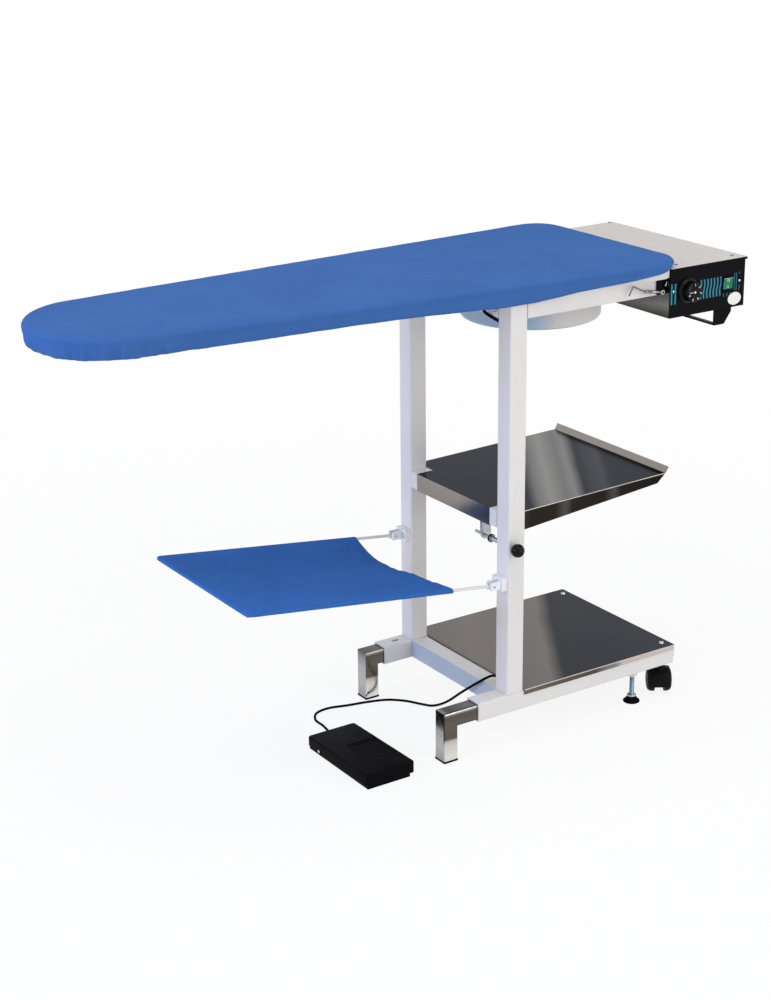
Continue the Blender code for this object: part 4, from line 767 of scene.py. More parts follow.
def makeCover():
    loop = boardLoop()
    inward = []
    for i, point in enumerate(loop):
        along = (loop[(i + 1) % len(loop)] - loop[i - 1]).normalized()
        inward.append(Vector((-along.y, along.x, 0)))
    spots = [(point, turn, i * board["step"]) for i, (point, turn) in enumerate(zip(loop, inward))]
    rings = [[crownPoint(point, turn, share) for point, turn, arc in spots] for share in board["shares"]]
    edge = board["round"]
    profile = [(0.018, 0.0003), (0.013, 0.0005)]
    profile += [(edge * (1 - math.sin(a)), -edge * (1 - math.cos(a)))
                for a in (math.radians(d) for d in (8, 20, 33, 47, 61, 76, 90))]
    rings += [[rimPoint(*spot, inset, bulge) for spot in spots] for inset, bulge in profile]
    rings += [[skirtPoint(*spot, k) for spot in spots]
              for k in range(1, board["sideSteps"] + board["tuckSteps"] + 1)]
    hemRing = rings[-1]
    rings += [[(x + turn.x * inset, y + turn.y * inset, z + rise) for (x, y, z), turn in zip(hemRing, inward)]
              for inset, rise in board["turnedIn"]]
    bm = bmesh.new()
    addRings(bm, rings, (True, False))
    faceUp(bm, lambda bm: max(bm.faces, key=lambda face: face.calc_center_median().z).normal.z)
    cover = finishMesh("Board cloth", bm, "coverCloth", "table", ("Board_cover",), 80, False)
    thicken(cover, "Cloth", board["cloth"], -1)
    print("board cloth", len(rings), len(loop))

    pad = ringPiece("Felt under the cloth",
                    [[(p.x + t.x * inset, p.y + t.y * inset, z + ripple(p.x * 40, p.y * 40, 1) * 0.0002)
                      for p, t in zip(loop[::3], inward[::3])] for inset, z in board["felt"]],
                    "feltGrey", "table", ("Felt_pad",), 50)


makeCover()


# Rack cloth, sleeved over the rods

rack = {
    "rod": 0.003, "side": 0.015, "z": 0.329, "tilt": math.radians(7.2), "end": 0.5485, "pivot": 0.026,
    "bend": 0.012, "start": 0.118, "cloth": 0.0012, "around": 0.0046, "sleeve": 0.0075, "corner": 0.0085,
    "sagMiddle": 0.006, "sagEdge": 0.015, "wave": 0.0022, "pull": 0.0085, "taut": 0.08,
    "folds": ((0, 0.0034, 13), (1, 0.00238, 9)), "foldRun": 0.11, "foldStart": 0.03,  # corner, depth, count
    "rows": 56, "columns": 52, "edge": 0.02, "pin": 0.0016, "pinReach": 0.0099,
    "hem": ((-0.0004, 0.0020), (-0.0004, 0.0040), (0.0006, 0.0060), (0.0023, 0.0073), (0.0050, 0.0072)),
}


def rackHeight(x):
    return rack["z"] - x * math.tan(rack["tilt"])


def rackPoint(u, v):
    # u runs from the free edge by the posts to the far rod, v from the front rod to the back rod
    left = -rack["end"] - rack["around"]
    near, far = rack["side"] - rack["around"], depth - rack["side"] + rack["around"]
    x = -rack["start"] + (left + rack["start"]) * u
    y = near + (far - near) * v
    sleeve = rack["sleeve"] / (far - near)
    across = min(1, max(0, (v - sleeve) / (1 - 2 * sleeve)))
    along = min(1, u / (1 + rack["sleeve"] / (left + rack["start"])))
    free = 1 - along
    belly = math.sin(math.pi * across)
    skew = math.sin(math.pi * across ** 1.45)
    sag = rack["sagMiddle"] * math.sin(math.pi * along) * belly
    sag += rack["sagEdge"] * free ** 3 * skew * belly / max(belly, 0.001)
    sag -= rack["wave"] * math.sin(2 * math.pi * across) * free ** 2 * belly
    taut = min(1, free / rack["taut"])  # straight where it is held by the rod
    sag += 0.0030 * ripple(u * 5, v * 7, 2) * belly * taut
    sag += 0.0016 * ripple(u * 16 + v * 5, v * 20, 8) * belly * (0.35 + free ** 2) * taut
    # Folds that run out from the two pulled corners
    for corner, reach, count in rack["folds"]:
        side, ahead = abs(v - corner) * 0.34, along * 0.43  # metres from the corner
        away = math.hypot(ahead, side)
        fold = math.sin(count * math.atan2(side, ahead + 0.0001)) * math.exp(-away / rack["foldRun"])
        sag += reach * fold * min(1, away / rack["foldStart"]) * min(1, belly * 3)
    pull = rack["pull"] * skew * free ** 4 + 0.0022 * math.sin(9 * across + 1) * free ** 6 * belly
    # Rounded where the rod bends
    corner = rack["corner"]
    dx, dy = x - left, min(y - near, far - y)
    if dx < corner and dy < corner:
        ex, ey = corner - dx, corner - dy
        scale = max(ex, ey) / max(math.hypot(ex, ey), 1e-9)
        x = left + corner - ex * scale
        inwards = corner - ey * scale
        y = near + inwards if y - near < far - y else far - inwards
    return Vector((x - pull, y, rackHeight(x) + rack["rod"] + 0.0015 - sag))


def hangHem(bm, border):
    # The cloth's border turned down round the rods, and a narrow hem along the free edge
    last, edge = border, rack["edge"]
    for inwards, drop in rack["hem"]:
        ring = []
        for vertex in border:
            x, y, z = vertex.co
            middle = edge < y < depth - edge
            if middle and x > -rack["start"] - 0.03:
                ring.append(bm.verts.new((x, y, z - drop * 0.35)))
                continue
            stepX = inwards if x < -rack["end"] + 0.004 else 0
            stepY = 0 if edge <= y <= depth - edge else inwards if y < midY else -inwards
            crease = 0.0004 * ripple(x * 90, y * 90, drop * 80)
            ring.append(bm.verts.new((x + stepX, y + stepY + crease, z - drop)))
        for a, b, c, d in zip(last, last[1:], ring[1:], ring):
            bm.faces.new((b, a, d, c))
        last = ring


def makeRackCloth():
    rows, columns = rack["rows"], rack["columns"]
    sleeve = rack["sleeve"] / (depth - 2 * (rack["side"] - rack["around"]))
    us = sorted({i / rows * (1 - 0.0175) for i in range(rows + 1)} | {0.987, 0.994, 1.0})
    vs = [sleeve + (1 - 2 * sleeve) * j / columns for j in range(columns + 1)]
    vs = [0, 0.006, 0.014] + vs + [0.986, 0.994, 1]
    bm = bmesh.new()
    grid = [[bm.verts.new(rackPoint(u, v)) for v in vs] for u in us]
    for row in grid:  # the cloth rounds over the rods
        for vertex, drop in ((row[0], 0.0017), (row[1], 0.0004), (row[-1], 0.0017), (row[-2], 0.0004)):
            vertex.co.z -= drop
    for vertex in grid[-1]:
        vertex.co.z -= 0.0014
    for lower, upper in zip(grid, grid[1:]):
        for corners in zip(lower, lower[1:], upper[1:], upper):
            bm.faces.new(corners)
    hangHem(bm, [row[0] for row in grid] + grid[-1][1:] + [row[-1] for row in grid[-2::-1]])
    faceUp(bm, lambda bm: sum(face.normal.z * face.calc_area() for face in bm.faces))
    cloth = finishMesh("Rack canvas", bm, "rackCloth", "clothes_rack", ("Rack_cloth",), 75, False)
    thicken(cloth, "Cloth", rack["cloth"], -1)
    print("rack canvas")


def makeRackRod():
    # Bent rod with its hinge pins
    bend, side, end = rack["bend"], rack["side"], rack["end"]
    hinge = -rack["pivot"]
    corner = [(-end + bend * (1 - math.sin(a)), side + bend * (1 - math.cos(a))) for a in quarter(8)]
    route = [(hinge + rack["rod"], side)] + corner
    route += [(x, depth - y) for x, y in corner[::-1]] + [(hinge + rack["rod"], depth - side)]
    wirePiece("Rack rod", [(x, y, rackHeight(x)) for x, y in route], rack["rod"], "whitePaint",
              "clothes_rack", ("Rack_rod",), 5)
    pin, reach = rack["pin"], rack["pinReach"]
    for label, y in (("front", side), ("back", depth - side)):
        turnedPiece("Rack pin " + label, (hinge, y - reach, rackHeight(hinge)), (0, 1, 0),
                    [(pin, 0), (pin, 0.0001), (pin, 2 * reach)], 20, "zincSteel", "clothes_rack")


makeRackCloth()
makeRackRod()


# Threaded levelling feet

foot = {
    "x": 0.327, "rim": 0.0168, "cone": 0.0128, "neck": 0.0094, "rod": 0.0049, "pitch": 0.0015, "cut": 0.0006,
    "low": 0.0165, "high": 0.089, "around": 24,
    "washer": [(0.0062, 0), (0.0091, 0.0001), (0.0094, 0.0006), (0.0094, 0.0024), (0.0090, 0.003),
               (0.0062, 0.0031), (0.0062, 0.0036), (0.0050, 0.0037)],
}


def makeFoot(side, y):
    body = side.lower() + "_foot"
    x, rim, neck, around = foot["x"], foot["rim"], foot["neck"], foot["around"]
    turnedPiece(side + " foot base", (x, y, 0), upward,
                [(0.002, 0.0), (rim - 0.0012, 0), (rim, 0.0008), (rim, 0.0027), (rim - 0.0006, 0.0034),
                 (0.0124, 0.0066), (0.0106, 0.0094), (neck + 0.0002, 0.0114), (neck, 0.0122),
                 (neck - 0.0008, foot["cone"])], 40, "blackPlastic", body, (side + "_levelling_foot",))
    turnedPiece(side + " foot washer", (x, y, foot["cone"]), upward, foot["washer"], 36, "zincSteel", body)
    rings = []
    stepsUp = round((foot["high"] - foot["low"]) / foot["pitch"] * 6)
    for k in range(stepsUp + 1):
        z = foot["low"] + (foot["high"] - foot["low"]) * k / stepsUp
        ring = []
        for i in range(around):
            a = math.tau * i / around
            phase = (z / foot["pitch"] - i / around) % 1
            r = foot["rod"] - foot["cut"] * (1 - abs(2 * phase - 1))
            ring.append((x + r * math.cos(a), y + r * math.sin(a), z))
        rings.append(ring)
    ringPiece(side + " foot thread", rings, "blueZinc", body, (), 60)


for sideName, sideY in sides:
    makeFoot(sideName, sideY)
print("levelling feet")


# Control box details

panel = {
    "face": -0.0193, "left": 0.3564, "right": 0.5433, "knobX": 0.3996, "controlZ": 0.844, "switchX": 0.499,
    "ink": 0.00012, "straight": [0.3602, 0.3693], "straightWide": 0.0042, "straightRun": (0.8210, 0.8609),
    "wavy": 0.4324, "wavyStep": 0.00825, "waves": 7, "wavyWide": 0.0036, "wavyRun": (0.8218, 0.8592),
    "swing": 0.0014, "bends": 26,
    "fine": [(0.5172, 0.8285, 0.8617), (0.5222, 0.8267, 0.8617), (0.5297, 0.8580, 0.8625),
             (0.5297, 0.8270, 0.8380)],
    "fineWide": 0.0020, "short": [0.4909, 0.4992, 0.5068], "shortRun": (0.8185, 0.8250), "shortWide": 0.0024,
    "screws": [(0.3651, 0.8460), (0.5305, 0.845)], "screw": 0.0027, "label": (0.5190, 0.8116, 0.0168, 0.0124),
}


def addRibbon(bm, points, width, y):
    # Flat inked line on the panel; points are (x, z)
    rows = []
    for i, (x, z) in enumerate(points):
        x0, z0 = points[max(i - 1, 0)]
        x1, z1 = points[min(i + 1, len(points) - 1)]
        half = Vector((x1 - x0, z1 - z0)).normalized() * width / 2
        rows.append([bm.verts.new((x - half.y * s, y, z + half.x * s)) for s in (1, -1)])
    for (a, b), (c, d) in zip(rows, rows[1:]):
        bm.faces.new((a, b, d, c))


def inkPiece(name, ribbons, finish):
    bm = bmesh.new()
    for points, width in ribbons:
        addRibbon(bm, points, width, panel["face"] - panel["ink"])
    thicken(finishMesh(name, bm, finish, "table"), "Ink", panel["ink"], 0)


def makePanel():
    stripes = [([(x, z) for z in panel["straightRun"]], panel["straightWide"]) for x in panel["straight"]]
    low, high = panel["wavyRun"]
    bends = panel["bends"]
    for k in range(panel["waves"]):
        x = panel["wavy"] + panel["wavyStep"] * k
        stripes.append(([(x - panel["swing"] * math.sin(i * math.tau / bends), low + (high - low) * i / bends)
                         for i in range(bends + 1)], panel["wavyWide"]))
    inkPiece("Panel stripes", stripes, "tealInk")
    low, high = panel["shortRun"]
    stripes = [([(x, bottom), (x, top)], panel["fineWide"]) for x, bottom, top in panel["fine"]]
    stripes += [([(x - 0.0006, low), (x + 0.0008, high)], panel["shortWide"]) for x in panel["short"]]
    inkPiece("Panel fine stripes", stripes, "deepTeal")

    x, z, wide, tall = panel["label"]
    turns = [math.tau * i / 48 for i in range(48)]
    rings = [[(x + wide * share * math.cos(a), panel["face"] - lift, z + tall * share * math.sin(a))
              for a in turns] for share, lift in ((1, -0.0002), (1, 0.0003), (0.985, 0.0005))]
    ringPiece("Panel label", rings, "paleLabel", "table")
    for letter, (x, z) in zip("ab", panel["screws"]):
        addScrew("Panel screw " + letter, (x, panel["face"] + 0.0001, z), (0, -1, 0), panel["screw"],
                 "zincSteel")
    for letter, (x, y) in zip("abcd", lid["screws"]):
        addScrew("Lid screw " + letter, (x, y, lid["top"] - 0.0001), upward, lid["screw"], "blueZinc")


def addScrew(name, spot, axis, radius, finish):
    # Dome head with a cross recess
    high = radius / 2

    def notch(angle, height):
        deep = max(0, abs(math.cos(2 * angle)) - 0.72) if height > high * 0.7 else 0
        return -deep * radius * 0.25
    shape = ((0.98, 0), (1, 0.2), (0.86, 0.65), (0.5, 0.95), (0.34, 1), (0.25, 0.45), (0.05, 0.3))
    turnedPiece(name, spot, axis, [(radius * wide, high * tall) for wide, tall in shape], 32, finish, "table",
                wave=notch)


lid = {"top": 0.8914, "under": 0.8899, "back": 0.3807, "over": 0.0015, "lip": 0.8854, "screw": 0.0040,
       "screws": ((0.385, 0.0), (0.5236, -0.0027), (0.533, 0.375), (0.373, 0.373))}


def makeLid():
    x0, x1, back = panel["left"], panel["right"] + lid["over"], lid["back"]
    top, under, low = lid["top"], lid["under"], lid["lip"]
    front = panel["face"] - gap - lid["over"]
    rings = []
    for inset, z in ((0.0004, under), (0, under + 0.0003), (0, top - 0.0006), (0.0004, top - 0.0001),
                     (0.0010, top)):
        rings.append(boxRing(x0 + inset, x1 - inset, front + inset, back - inset, z))
    ringPiece("Lid plate", rings, "lidSteel", "table", ("Box_lid",), 30)
    profile = [(front - 0.0002, low), (front + 0.0013, low), (front + 0.0013, under - 0.0001),
               (front - 0.0002, under - 0.0001), (front - 0.0007, under - 0.0006),
               (front - 0.0007, low + 0.0004)]
    ringPiece("Lid lip", [[(x, y, z) for y, z in profile]
                          for x in (x0 - 0.0002, x0 + 0.0002, x1 + 0.0012, x1 + 0.0016)],
              "blackPanel", "table", (), 30)


switch = {
    "pivot": -0.0184, "half": 0.0115, "floor": 0.0090,
    "frame": [  # half width, corner, and y from the panel's face
        (0.0100, 0.001, 0.0283), (0.01075, 0.001, 0.0276), (0.01075, 0.001, 0), (0.0132, 0.0016, 0),
        (0.0140, 0.0018, -0.0004), (0.0140, 0.0018, -0.0012), (0.0135, 0.0016, -0.0018),
        (0.0127, 0.0012, -0.0020), (0.0123, 0.0010, -0.0016), (0.0123, 0.0010, -0.00006),
        (0.0096, 0.0006, -0.00005), (0.0095, 0.0005, 0.0100)],
    "front": [(-0.0050, 0.0108), (-0.0054, 0.0100), (-0.0044, 0.0050), (-0.0038, 0.0010), (-0.0036, -0.0012),
              (-0.0034, -0.0060), (-0.0034, -0.0100), (-0.0030, -0.0108)],
    "rear": [(-0.0024, -0.0106), (-0.0022, -0.0088), (-0.0012, -0.0084), (0.0016, -0.0078), (0.0040, 0.0),
             (0.0016, 0.0078), (-0.0034, 0.0084), (-0.0039, 0.0088), (-0.0042, 0.0106)],
    "ring": [(0.0017, -0.0002), (0.0027, -0.0002), (0.0027, 0.00012), (0.0017, 0.00012)],
}


def makeSwitch():
    # Rocker switch: a square frame standing on the panel, and a wide two-part lens that tips in it
    x, z = panel["switchX"], panel["controlZ"]
    back, pivot = panel["face"] - gap, switch["pivot"]
    ringPiece("Switch frame", [[(x + a, back + y, z + b) for a, b in roundedLoop(half, half, corner)]
                               for half, corner, y in switch["frame"]],
              "blackPlastic", "table", ("Switch_housing",), 40)
    wide, floor = switch["half"], switch["floor"]
    rings = []
    for half, shrink in ((wide - 0.0004, 0.0004), (wide, 0.0), (-wide, 0.0), (-wide + 0.0004, 0.0004)):
        inner = max(-floor, min(floor, half))
        ring = [(x + half, pivot + y + shrink, z + h) for y, h in switch["front"]]
        ring += [(x + (inner if abs(h) < 0.0085 else half), pivot + y, z + h) for y, h in switch["rear"]]
        rings.append(ring)
    ringPiece("Switch lens", rings, "switchGreen", "rocker", ("Power_rocker",), 30)
    bm = bmesh.new()
    addTurned(bm, (x, pivot - 0.00464, z + 0.0062), (0, -1, -0.2), switch["ring"], joined=True)
    addBlock(bm, (x - 0.0006, pivot - 0.00372, z - 0.0088), (x + 0.0006, pivot - 0.0032, z - 0.0036))
    finishMesh("Switch marks", bm, "whiteInk", "rocker")
    brow = ((x - 0.0110, pivot - 0.0053, z + 0.0099), (x + 0.0110, pivot - 0.0046, z + 0.0110))
    blockPiece("Switch brow", [brow], "paleFold", "rocker", 0.0003)


makePanel()
makeLid()
makeSwitch()


# Thermostat knob with a numbered face

knob = {
    "skirt": 0.0240, "grip": 0.0196, "face": 0.0178, "height": 0.0211, "flutes": 24, "fluteDeep": 0.0006,
    "numbers": "123456", "stepDegrees": 50, "reach": 0.0142, "text": 0.0064,
    "spindle": [(0.0029, 0.0004), (0.0030, 0.001), (0.0030, 0.0212), (0.0026, 0.0216)],
    "hub": [(0.0016, 0), (0.0022, 0.0001), (0.0022, 0.0003), (0.0010, 0.0006)],
}


def makeKnob():
    centre = Vector((panel["knobX"], panel["face"] - gap, panel["controlZ"]))
    skirt, grip, rim, high = knob["skirt"], knob["grip"], knob["face"], knob["height"]

    def flute(angle, height):
        wave = 0.5 + 0.5 * math.cos(knob["flutes"] * angle)
        return -knob["fluteDeep"] * wave if 0.0055 < height < 0.0190 else 0
    turnedPiece("Dial knob", centre, (0, -1, 0),
                [(0.002, -0.0003), (skirt - 0.0006, -0.0003), (skirt, 0.0004), (skirt, 0.0020),
                 (skirt - 0.0006, 0.0028), (skirt - 0.0022, 0.0036), (grip + 0.0009, 0.0044),
                 (grip + 0.0002, 0.0050), (grip, 0.0062), (grip - 0.0004, 0.0186), (grip - 0.0009, 0.0199),
                 (rim + 0.0001, high - 0.0003), (rim - 0.0005, high), (0.006, high), (0.002, high)],
                144, "glossBlack", "knob", ("Temperature_knob",), 40, wave=flute)
    turnedPiece("Dial spindle", centre, (0, 1, 0), knob["spindle"], 20, "zincSteel", "knob")
    # Hub dot, and a dash for the zero place
    x, face, z = centre.x, centre.y - high, centre.z
    bm = bmesh.new()
    addTurned(bm, (x, face + 0.0001, z), (0, -1, 0), knob["hub"], 24)
    addBlock(bm, (x - 0.0125, face - 0.00012, z - 0.0006), (x - 0.0050, face + 0.0001, z + 0.0006))
    finishMesh("Dial ticks", bm, "whiteInk", "knob")
    for k, mark in enumerate(knob["numbers"]):
        angle = math.radians(90 - knob["stepDegrees"] * k)
        data = bpy.data.curves.new("Dial mark " + mark, "FONT")
        data.body = mark
        data.size = knob["text"]
        data.extrude = 0.00005
        data.offset = 0.00012
        data.align_x = "CENTER"
        data.align_y = "CENTER"
        text = place("Dial mark " + mark, data, "whiteInk", "knob")
        out = Vector((math.cos(angle), 0, math.sin(angle))) * knob["reach"]
        text.location = Vector((x, face - 0.0001, z)) + out + shift
        text.rotation_euler = (math.pi / 2, 0, 0)
        text.rotation_euler.rotate_axis("Z", angle - math.pi / 2)


makeKnob()


# Draw latch

latch = {
    "start": (0.3455, -0.0096, 0.8465), "length": 0.043, "rise": 0.0065, "wire": 0.0017, "keeperWire": 0.0011,
    "eye": [(0.0024, 0), (0.0040, 0), (0.0046, 0.0006), (0.0046, 0.0054), (0.0040, 0.006), (0.0024, 0.006)],
    "bend": (-0.028, 0, 0.0135), "tip": (-0.0095, 0, -0.0165),
    "keeper": [(0.3545, -0.0098, 0.8655), (0.3545, -0.0098, 0.8620), (0.3535, -0.0102, 0.8590),
               (0.3520, -0.0108, 0.8570), (0.3508, -0.0116, 0.8585), (0.3505, -0.0122, 0.8612)],
}


def makeLatch():
    start = Vector(latch["start"])
    end = start + Vector((-latch["length"], 0, latch["rise"]))
    along = (end - start).normalized()
    turnedPiece("Latch eye", start - Vector((0, 0.003, 0)), (0, 1, 0), latch["eye"], 28, "zincSteel", "latch",
                ("Latch_arm",), joined=True)
    run = latch["length"] - 0.0030
    turnedPiece("Latch barrel", start + along * 0.0036, along,
                [(0.0012, 0), (0.0022, 0), (0.0022, 0.006), (0.0030, 0.0065), (0.0031, 0.0075),
                 (0.0031, run * 0.55), (0.0026, run * 0.57), (0.0026, run * 0.61), (0.0031, run * 0.63),
                 (0.0031, run - 0.001), (0.0024, run), (0.001, run)], 24, "darkWire", "latch")
    bend = end + Vector(latch["bend"])
    tip = bend + Vector(latch["tip"])
    points = [end - along * 0.004, end, end.lerp(bend, 0.5), end.lerp(bend, 0.92), bend.lerp(tip, 0.12), tip]
    wirePiece("Latch wire", smoothRoute(points, 0.0018), latch["wire"], "darkWire", "latch")
    wirePiece("Latch keeper", smoothRoute(latch["keeper"], 0.0008), latch["keeperWire"], "zincSteel", "table")


makeLatch()
print("box, knob and latch")


# Foot pedal

pedal = {
    "left": -0.3215, "width": 0.1065, "front": -0.004, "length": 0.212, "frontTop": 0.031, "backTop": 0.027,
    "corner": 0.007, "skirt": 0.0082, "wall": 0.002, "edge": 0.0028, "ridge": 0.128,
    "cordSlot": ((-0.2685, -0.004, 0.002), (-0.2555, 0.003, 0.0165)),  # y from the rear edge
    "treadInset": (0.040, 0.006, 0.007, 0.006), "frame": 0.002, "bars": 17,
    "baseInset": 0.0095, "gland": 0.005, "pinPlace": (0.165, 0.0112),
    "boss": [(0.0022, 0), (0.0052, 0), (0.0052, 0.0017), (0.0048, 0.0021), (0.0030, 0.0022)],
    "pinHead": [(0.0016, 0), (0.0029, 0.0001), (0.0031, 0.0005), (0.0025, 0.0011), (0.0008, 0.0014)],
}


def pedalTop(y):
    return pedal["frontTop"] + (pedal["backTop"] - pedal["frontTop"]) * (y - pedal["front"]) / pedal["length"]


def pedalOutline(inset):
    halfWide, halfLong = pedal["width"] / 2, pedal["length"] / 2
    corner = max(pedal["corner"] - inset, 0.001)
    return [(pedal["left"] + halfWide + x, pedal["front"] + halfLong + y)
            for x, y in roundedLoop(halfWide - inset, halfLong - inset, corner)]


def makeTreadle(x0, x1, y0, y1):
    # Skirted cover, rounded at its top edge, with a slot for the cord
    skirt, edge, inner = pedal["skirt"], pedal["edge"], pedalOutline(pedal["wall"])
    rings = [[(x, y, skirt + lift) for x, y in pedalOutline(inset)]
             for inset, lift in ((pedal["wall"], 0.0002), (0.0006, 0), (0, 0.0006))]
    for t in (math.radians(degrees) for degrees in (0, 22, 45, 68, 90)):
        rings.append([(x, y, pedalTop(y) - edge * (1 - math.sin(t)))
                      for x, y in pedalOutline(edge * (1 - math.cos(t)))])
    bm = bmesh.new()
    addRings(bm, rings, (False, True))
    addRings(bm, [[(x, y, skirt + 0.0002) for x, y in inner],
                  [(x, y, pedalTop(y) - 0.0032) for x, y in inner]], (False, True))
    bmesh.ops.remove_doubles(bm, verts=bm.verts, dist=0.00001)
    cover = finishMesh("Pedal cover", bm, "blackPlastic", "treadle", ("Pedal_treadle",))
    slot = [(x, y1 + y, z) for x, y, z in pedal["cordSlot"]]
    cutAway(cover, blockPiece("Pedal slot", [slot], "blackPlastic", "treadle"))

    # Grip bars in a raised frame, and the ridge across behind it
    left, right, front, back = pedal["treadInset"]
    fx0, fx1, fy0, fy1 = x0 + left, x1 - right, y0 + front, pedal["ridge"] - back
    bars = []
    for k in range(pedal["bars"]):
        y = fy0 + 0.004 + (fy1 - fy0 - 0.008) * k / (pedal["bars"] - 1)
        z = pedalTop(y)
        bars.append(((fx0 + 0.003, y - 0.0012, z - 0.0006), (fx1 - 0.003, y + 0.0012, z + 0.0003)))
    blockPiece("Pedal grip bars", bars, "blackRubber", "treadle", 0.0003)
    wide, strips = pedal["frame"], []
    for low, high in (((fx0, fy0), (fx1, fy0 + wide)), ((fx0, fy1 - wide), (fx1, fy1)),
                      ((fx0, fy0), (fx0 + wide, fy1)), ((fx1 - wide, fy0), (fx1, fy1))):
        z = pedalTop((low[1] + high[1]) / 2)
        strips.append(((*low, z - 0.0016), (*high, z + 0.0006)))
    blockPiece("Pedal tread frame", strips, "blackPlastic", "treadle", 0.0004)
    ridge = pedal["ridge"]
    z = pedalTop(ridge)
    block = ((fx0 - 0.001, ridge - 0.0022, z - 0.001), (x1 - 0.004, ridge + 0.0018, z + 0.0012))
    blockPiece("Pedal ridge", [block], "blackPlastic", "treadle", 0.0008, 3)


def makePedalBase(x1, y1):
    # Base tray, set in further along the right side
    low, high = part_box("Pedal_base")
    low, high = low - shift, high - shift
    wall, gland = pedal["wall"], pedal["gland"]
    right, back = x1 - pedal["baseInset"], y1 - wall - 0.0012
    trays = [(0.0006, 0), (0, 0.0006), (0, high.z - 0.0004), (wall, high.z), (wall, wall)]
    bm = bmesh.new()
    addRings(bm, [boxRing(low.x + d, right - d, low.y + d, back - d, z) for d, z in trays])
    reach = high.y - back + wall / 2
    addTurned(bm, (cordFacts["start"][0], back - wall / 2, cordFacts["start"][2]), (0, 1, 0),
              [(0.0026, 0), (gland, 0), (gland, reach - 0.0003), (gland - 0.0003, reach)], 24)
    finishMesh("Pedal base tray", bm, "blackPlastic", "table", ("Pedal_base",))


def makePedal():
    x0, x1 = pedal["left"], pedal["left"] + pedal["width"]
    y0, y1 = pedal["front"], pedal["front"] + pedal["length"]
    makeTreadle(x0, x1, y0, y1)
    makePedalBase(x1, y1)
    for label, x, way in (("left", x0, -1), ("right", x1, 1)):
        turnedPiece("Pedal boss " + label, (x - 0.0015 * way, *pedal["pinPlace"]), (way, 0, 0),
                    pedal["boss"], 32, "blackPlastic", "treadle")
        turnedPiece("Pedal pin head " + label, (x + 0.0006 * way, *pedal["pinPlace"]), (way, 0, 0),
                    pedal["pinHead"], 24, "whiteInk", "treadle")


makePedal()
print("pedal")


# Fan drum with its vents

drum = {"x": 0.181, "radius": 0.135, "low": 0.791, "high": 0.8765, "wall": 0.0015, "edge": 0.008, "vents": 8,
        "ventRadius": 0.011, "circle": 0.088}


def makeDrum():
    r, edge, wall, tall = drum["radius"], drum["edge"], drum["wall"], drum["high"] - drum["low"]
    x, low, circle = drum["x"], drum["low"], drum["circle"]
    outside = [(r - edge * (1 - math.sin(a)), edge * (1 - math.cos(a))) for a in quarter(8)]
    inside = [(r - wall - (edge - wall) * (1 - math.sin(a)), wall + (edge - wall) * (1 - math.cos(a)))
              for a in quarter(8)[::-1]]
    profile = [(0.004, 0), (0.05, 0)] + outside + [(r, tall), (r - wall, tall)] + inside
    profile += [(0.05, wall), (0.004, wall)]
    body = turnedPiece("Drum shell", (x, midY, low), upward, profile, 128, "drumPaintShadeAndReflection", "table",
                       ("Fan_drum",), 40)
    bm = bmesh.new()
    for k in range(drum["vents"]):
        a = math.tau * (k + 0.5) / drum["vents"]
        addTurned(bm, (x + circle * math.cos(a), midY + circle * math.sin(a), low - 0.002), upward,
                  [(drum["ventRadius"], 0), (drum["ventRadius"], 0.008)])
    cutAway(body, finishMesh("Vent cutter", bm, "whitePaint", "table"))


makeDrum()


# Twin-wheel casters: a barrel hood between and over two domed wheels

caster = {
    "x": 0.400, "trail": 0.012, "turn": math.radians(33), "wheel": 0.025, "half": 0.025, "wide": 0.0152,
    "from": 72, "to": 197, "web": -8, "webRadius": 0.0268, "webHalf": 0.0090, "steps": 30,
    "pin": 0.0045, "collar": 0.0062, "collarTop": 0.0676, "top": 0.0857,
    "hoodOutside": [(-0.0212, 0.0252), (-0.0208, 0.0262), (-0.0170, 0.02705), (-0.0100, 0.02765), (0, 0.0278),
                    (0.0100, 0.02765), (0.0170, 0.02705), (0.0208, 0.0262), (0.0212, 0.0252)],
    "hoodInside": [(0.0204, 0.0248), (0.0110, 0.02575), (0, 0.0259), (-0.0110, 0.02575), (-0.0204, 0.0248)],
    "dome": [(0.0004, 0.0016), (0.0060, 0.0008), (0.0100, 0), (0.0150, 0.0001), (0.0195, 0.0011),
             (0.0220, 0.0026), (0.0236, 0.0048), (0.0246, 0.0080), (0.0250, 0.0110)],  # radius, inwards
}


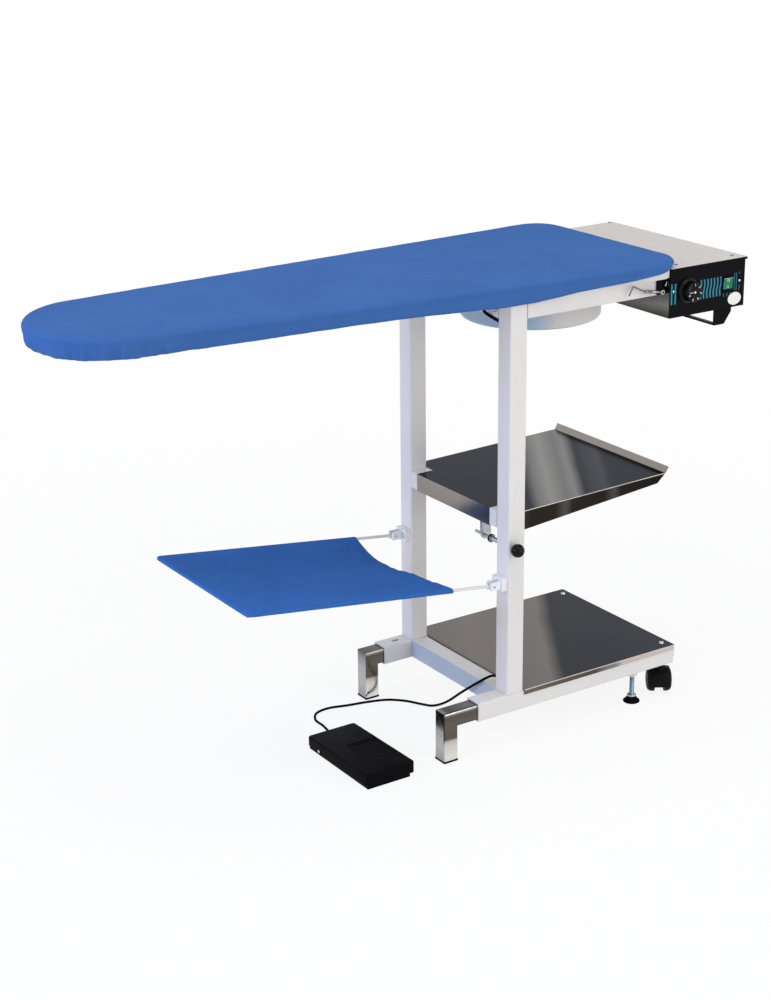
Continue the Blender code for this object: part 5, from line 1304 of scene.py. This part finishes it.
def makeCaster(side, y):
    stem = Vector((caster["x"], y, 0))
    axle = Vector((math.cos(caster["turn"]), -math.sin(caster["turn"]), 0))
    ahead = Vector((math.sin(caster["turn"]), math.cos(caster["turn"]), 0))
    up = Vector(upward)
    centre = stem + ahead * caster["trail"] + up * caster["wheel"]
    steps = caster["steps"]

    def spot(s, radius, start, k):
        a = math.radians(start + (caster["to"] - start) * k / steps)
        return centre + axle * s + (ahead * math.cos(a) + up * math.sin(a)) * radius
    bm = bmesh.new()
    addRings(bm, [[spot(s, r, caster["from"], k) for s, r in caster["hoodOutside"] + caster["hoodInside"]]
                  for k in range(steps + 1)])
    addRings(bm, [[spot(s, caster["webRadius"], caster["web"], k) for k in range(steps + 1)]
                  for s in (-caster["webHalf"], caster["webHalf"])])
    base = caster["wheel"] * 2 - 0.0040
    pin, collar, shoulder = caster["pin"], caster["collar"], caster["collarTop"] - base
    addTurned(bm, stem + up * base, upward,
              [(collar, 0), (collar, shoulder), (pin, shoulder + 0.0001), (pin, caster["top"] - base)], 28)
    finishMesh(side + " caster hood", bm, "casterBlack", side.lower() + "_caster",
               (side + "_caster_body",), 42)

    half, face, r = caster["half"], caster["half"] - caster["wide"], caster["wheel"]
    shape = [(radius, inwards - half) for radius, inwards in caster["dome"]]
    shape += [(r, -face - 0.0006), (r - 0.0006, -face), (0.0034, -face), (0.0030, -face + 0.0004)]
    turnedPiece(side + " caster wheels", centre, axle, shape + [(a, -b) for a, b in shape[::-1]], 56,
                "casterBlack", side.lower() + "_wheels", (side + "_caster_wheels",), 42)


for sideName, sideY in sides:
    makeCaster(sideName, sideY)


# Painted highlights along the shelves' folds, and the lip of the shelves

shelves = {
    # The pale fold lines are painted highlights along the sheets' folds
    "folds": [  # pale lines where the sheets fold down
        ("Lower shelf front fold highlight", "table", [(0.0412, -0.0011, 0.1071), (0.4180, -0.0011, 0.1071)], 0.0010),
        ("Iron shelf front fold highlight", "iron_shelf", [(0.0402, 0.0065, 0.4694), (0.3835, 0.0065, 0.4772)], 0.0009),
    ],
    "lip": ((0.0384, 0.0386, 0.0990), (0.0404, depth - 0.0386, 0.1077)),  # closes the shelf on the cross tube
}


def makeFoldHighlightsAndLip():
    for name, body, points, radius in shelves["folds"]:
        wirePiece(name, points, radius, "paleFold", body, (), 3)
    blockPiece("Lower shelf lip", [shelves["lip"]], "lowerSteel", "table", 0.0004)


makeFoldHighlightsAndLip()
print("drum, casters and folds")


# Plunger's ball and sleeve ring, and the heater's lead

small = {
    "ball": 0.013, "ballPlace": (0.010, -0.0150, 0.404), "ballEnd": [(0.0060, 0.0117), (0.0058, 0.0122)],
    "sleevePlace": (0.010, 0.0652, 0.404),
    "sleeve": [(0.0074, 0), (0.0080, 0.0002), (0.0083, 0.0008), (0.0083, 0.0036), (0.0080, 0.0042),
               (0.0074, 0.0044)],
    "flex": 0.003,
    "flexRoute": [(-0.010, 0.062, 0.8765), (-0.010, 0.062, 0.8705), (-0.010, 0.067, 0.8465),
                  (0.013, 0.0443, 0.8265), (0.013, 0.0383, 0.8265)],
}


def makeSmall():
    r = small["ball"]
    turns = [math.radians(degrees) for degrees in range(12, 153, 10)]
    profile = [(0.0008, -r)] + [(r * math.sin(a), -r * math.cos(a)) for a in turns] + small["ballEnd"]
    turnedPiece("Plunger knob", small["ballPlace"], (0, 1, 0), profile, 48, "glossBlack", "plunger",
                ("Plunger_ball",), 50)
    turnedPiece("Plunger sleeve ring", small["sleevePlace"], (0, 1, 0), small["sleeve"], 36, "glossBlack",
                "table", joined=True)
    wirePiece("Heater flex", smoothRoute(small["flexRoute"], 0.003), small["flex"], "blackRubber", "table",
              ("Heater_lead",), 5)


makeSmall()

print("scene made")
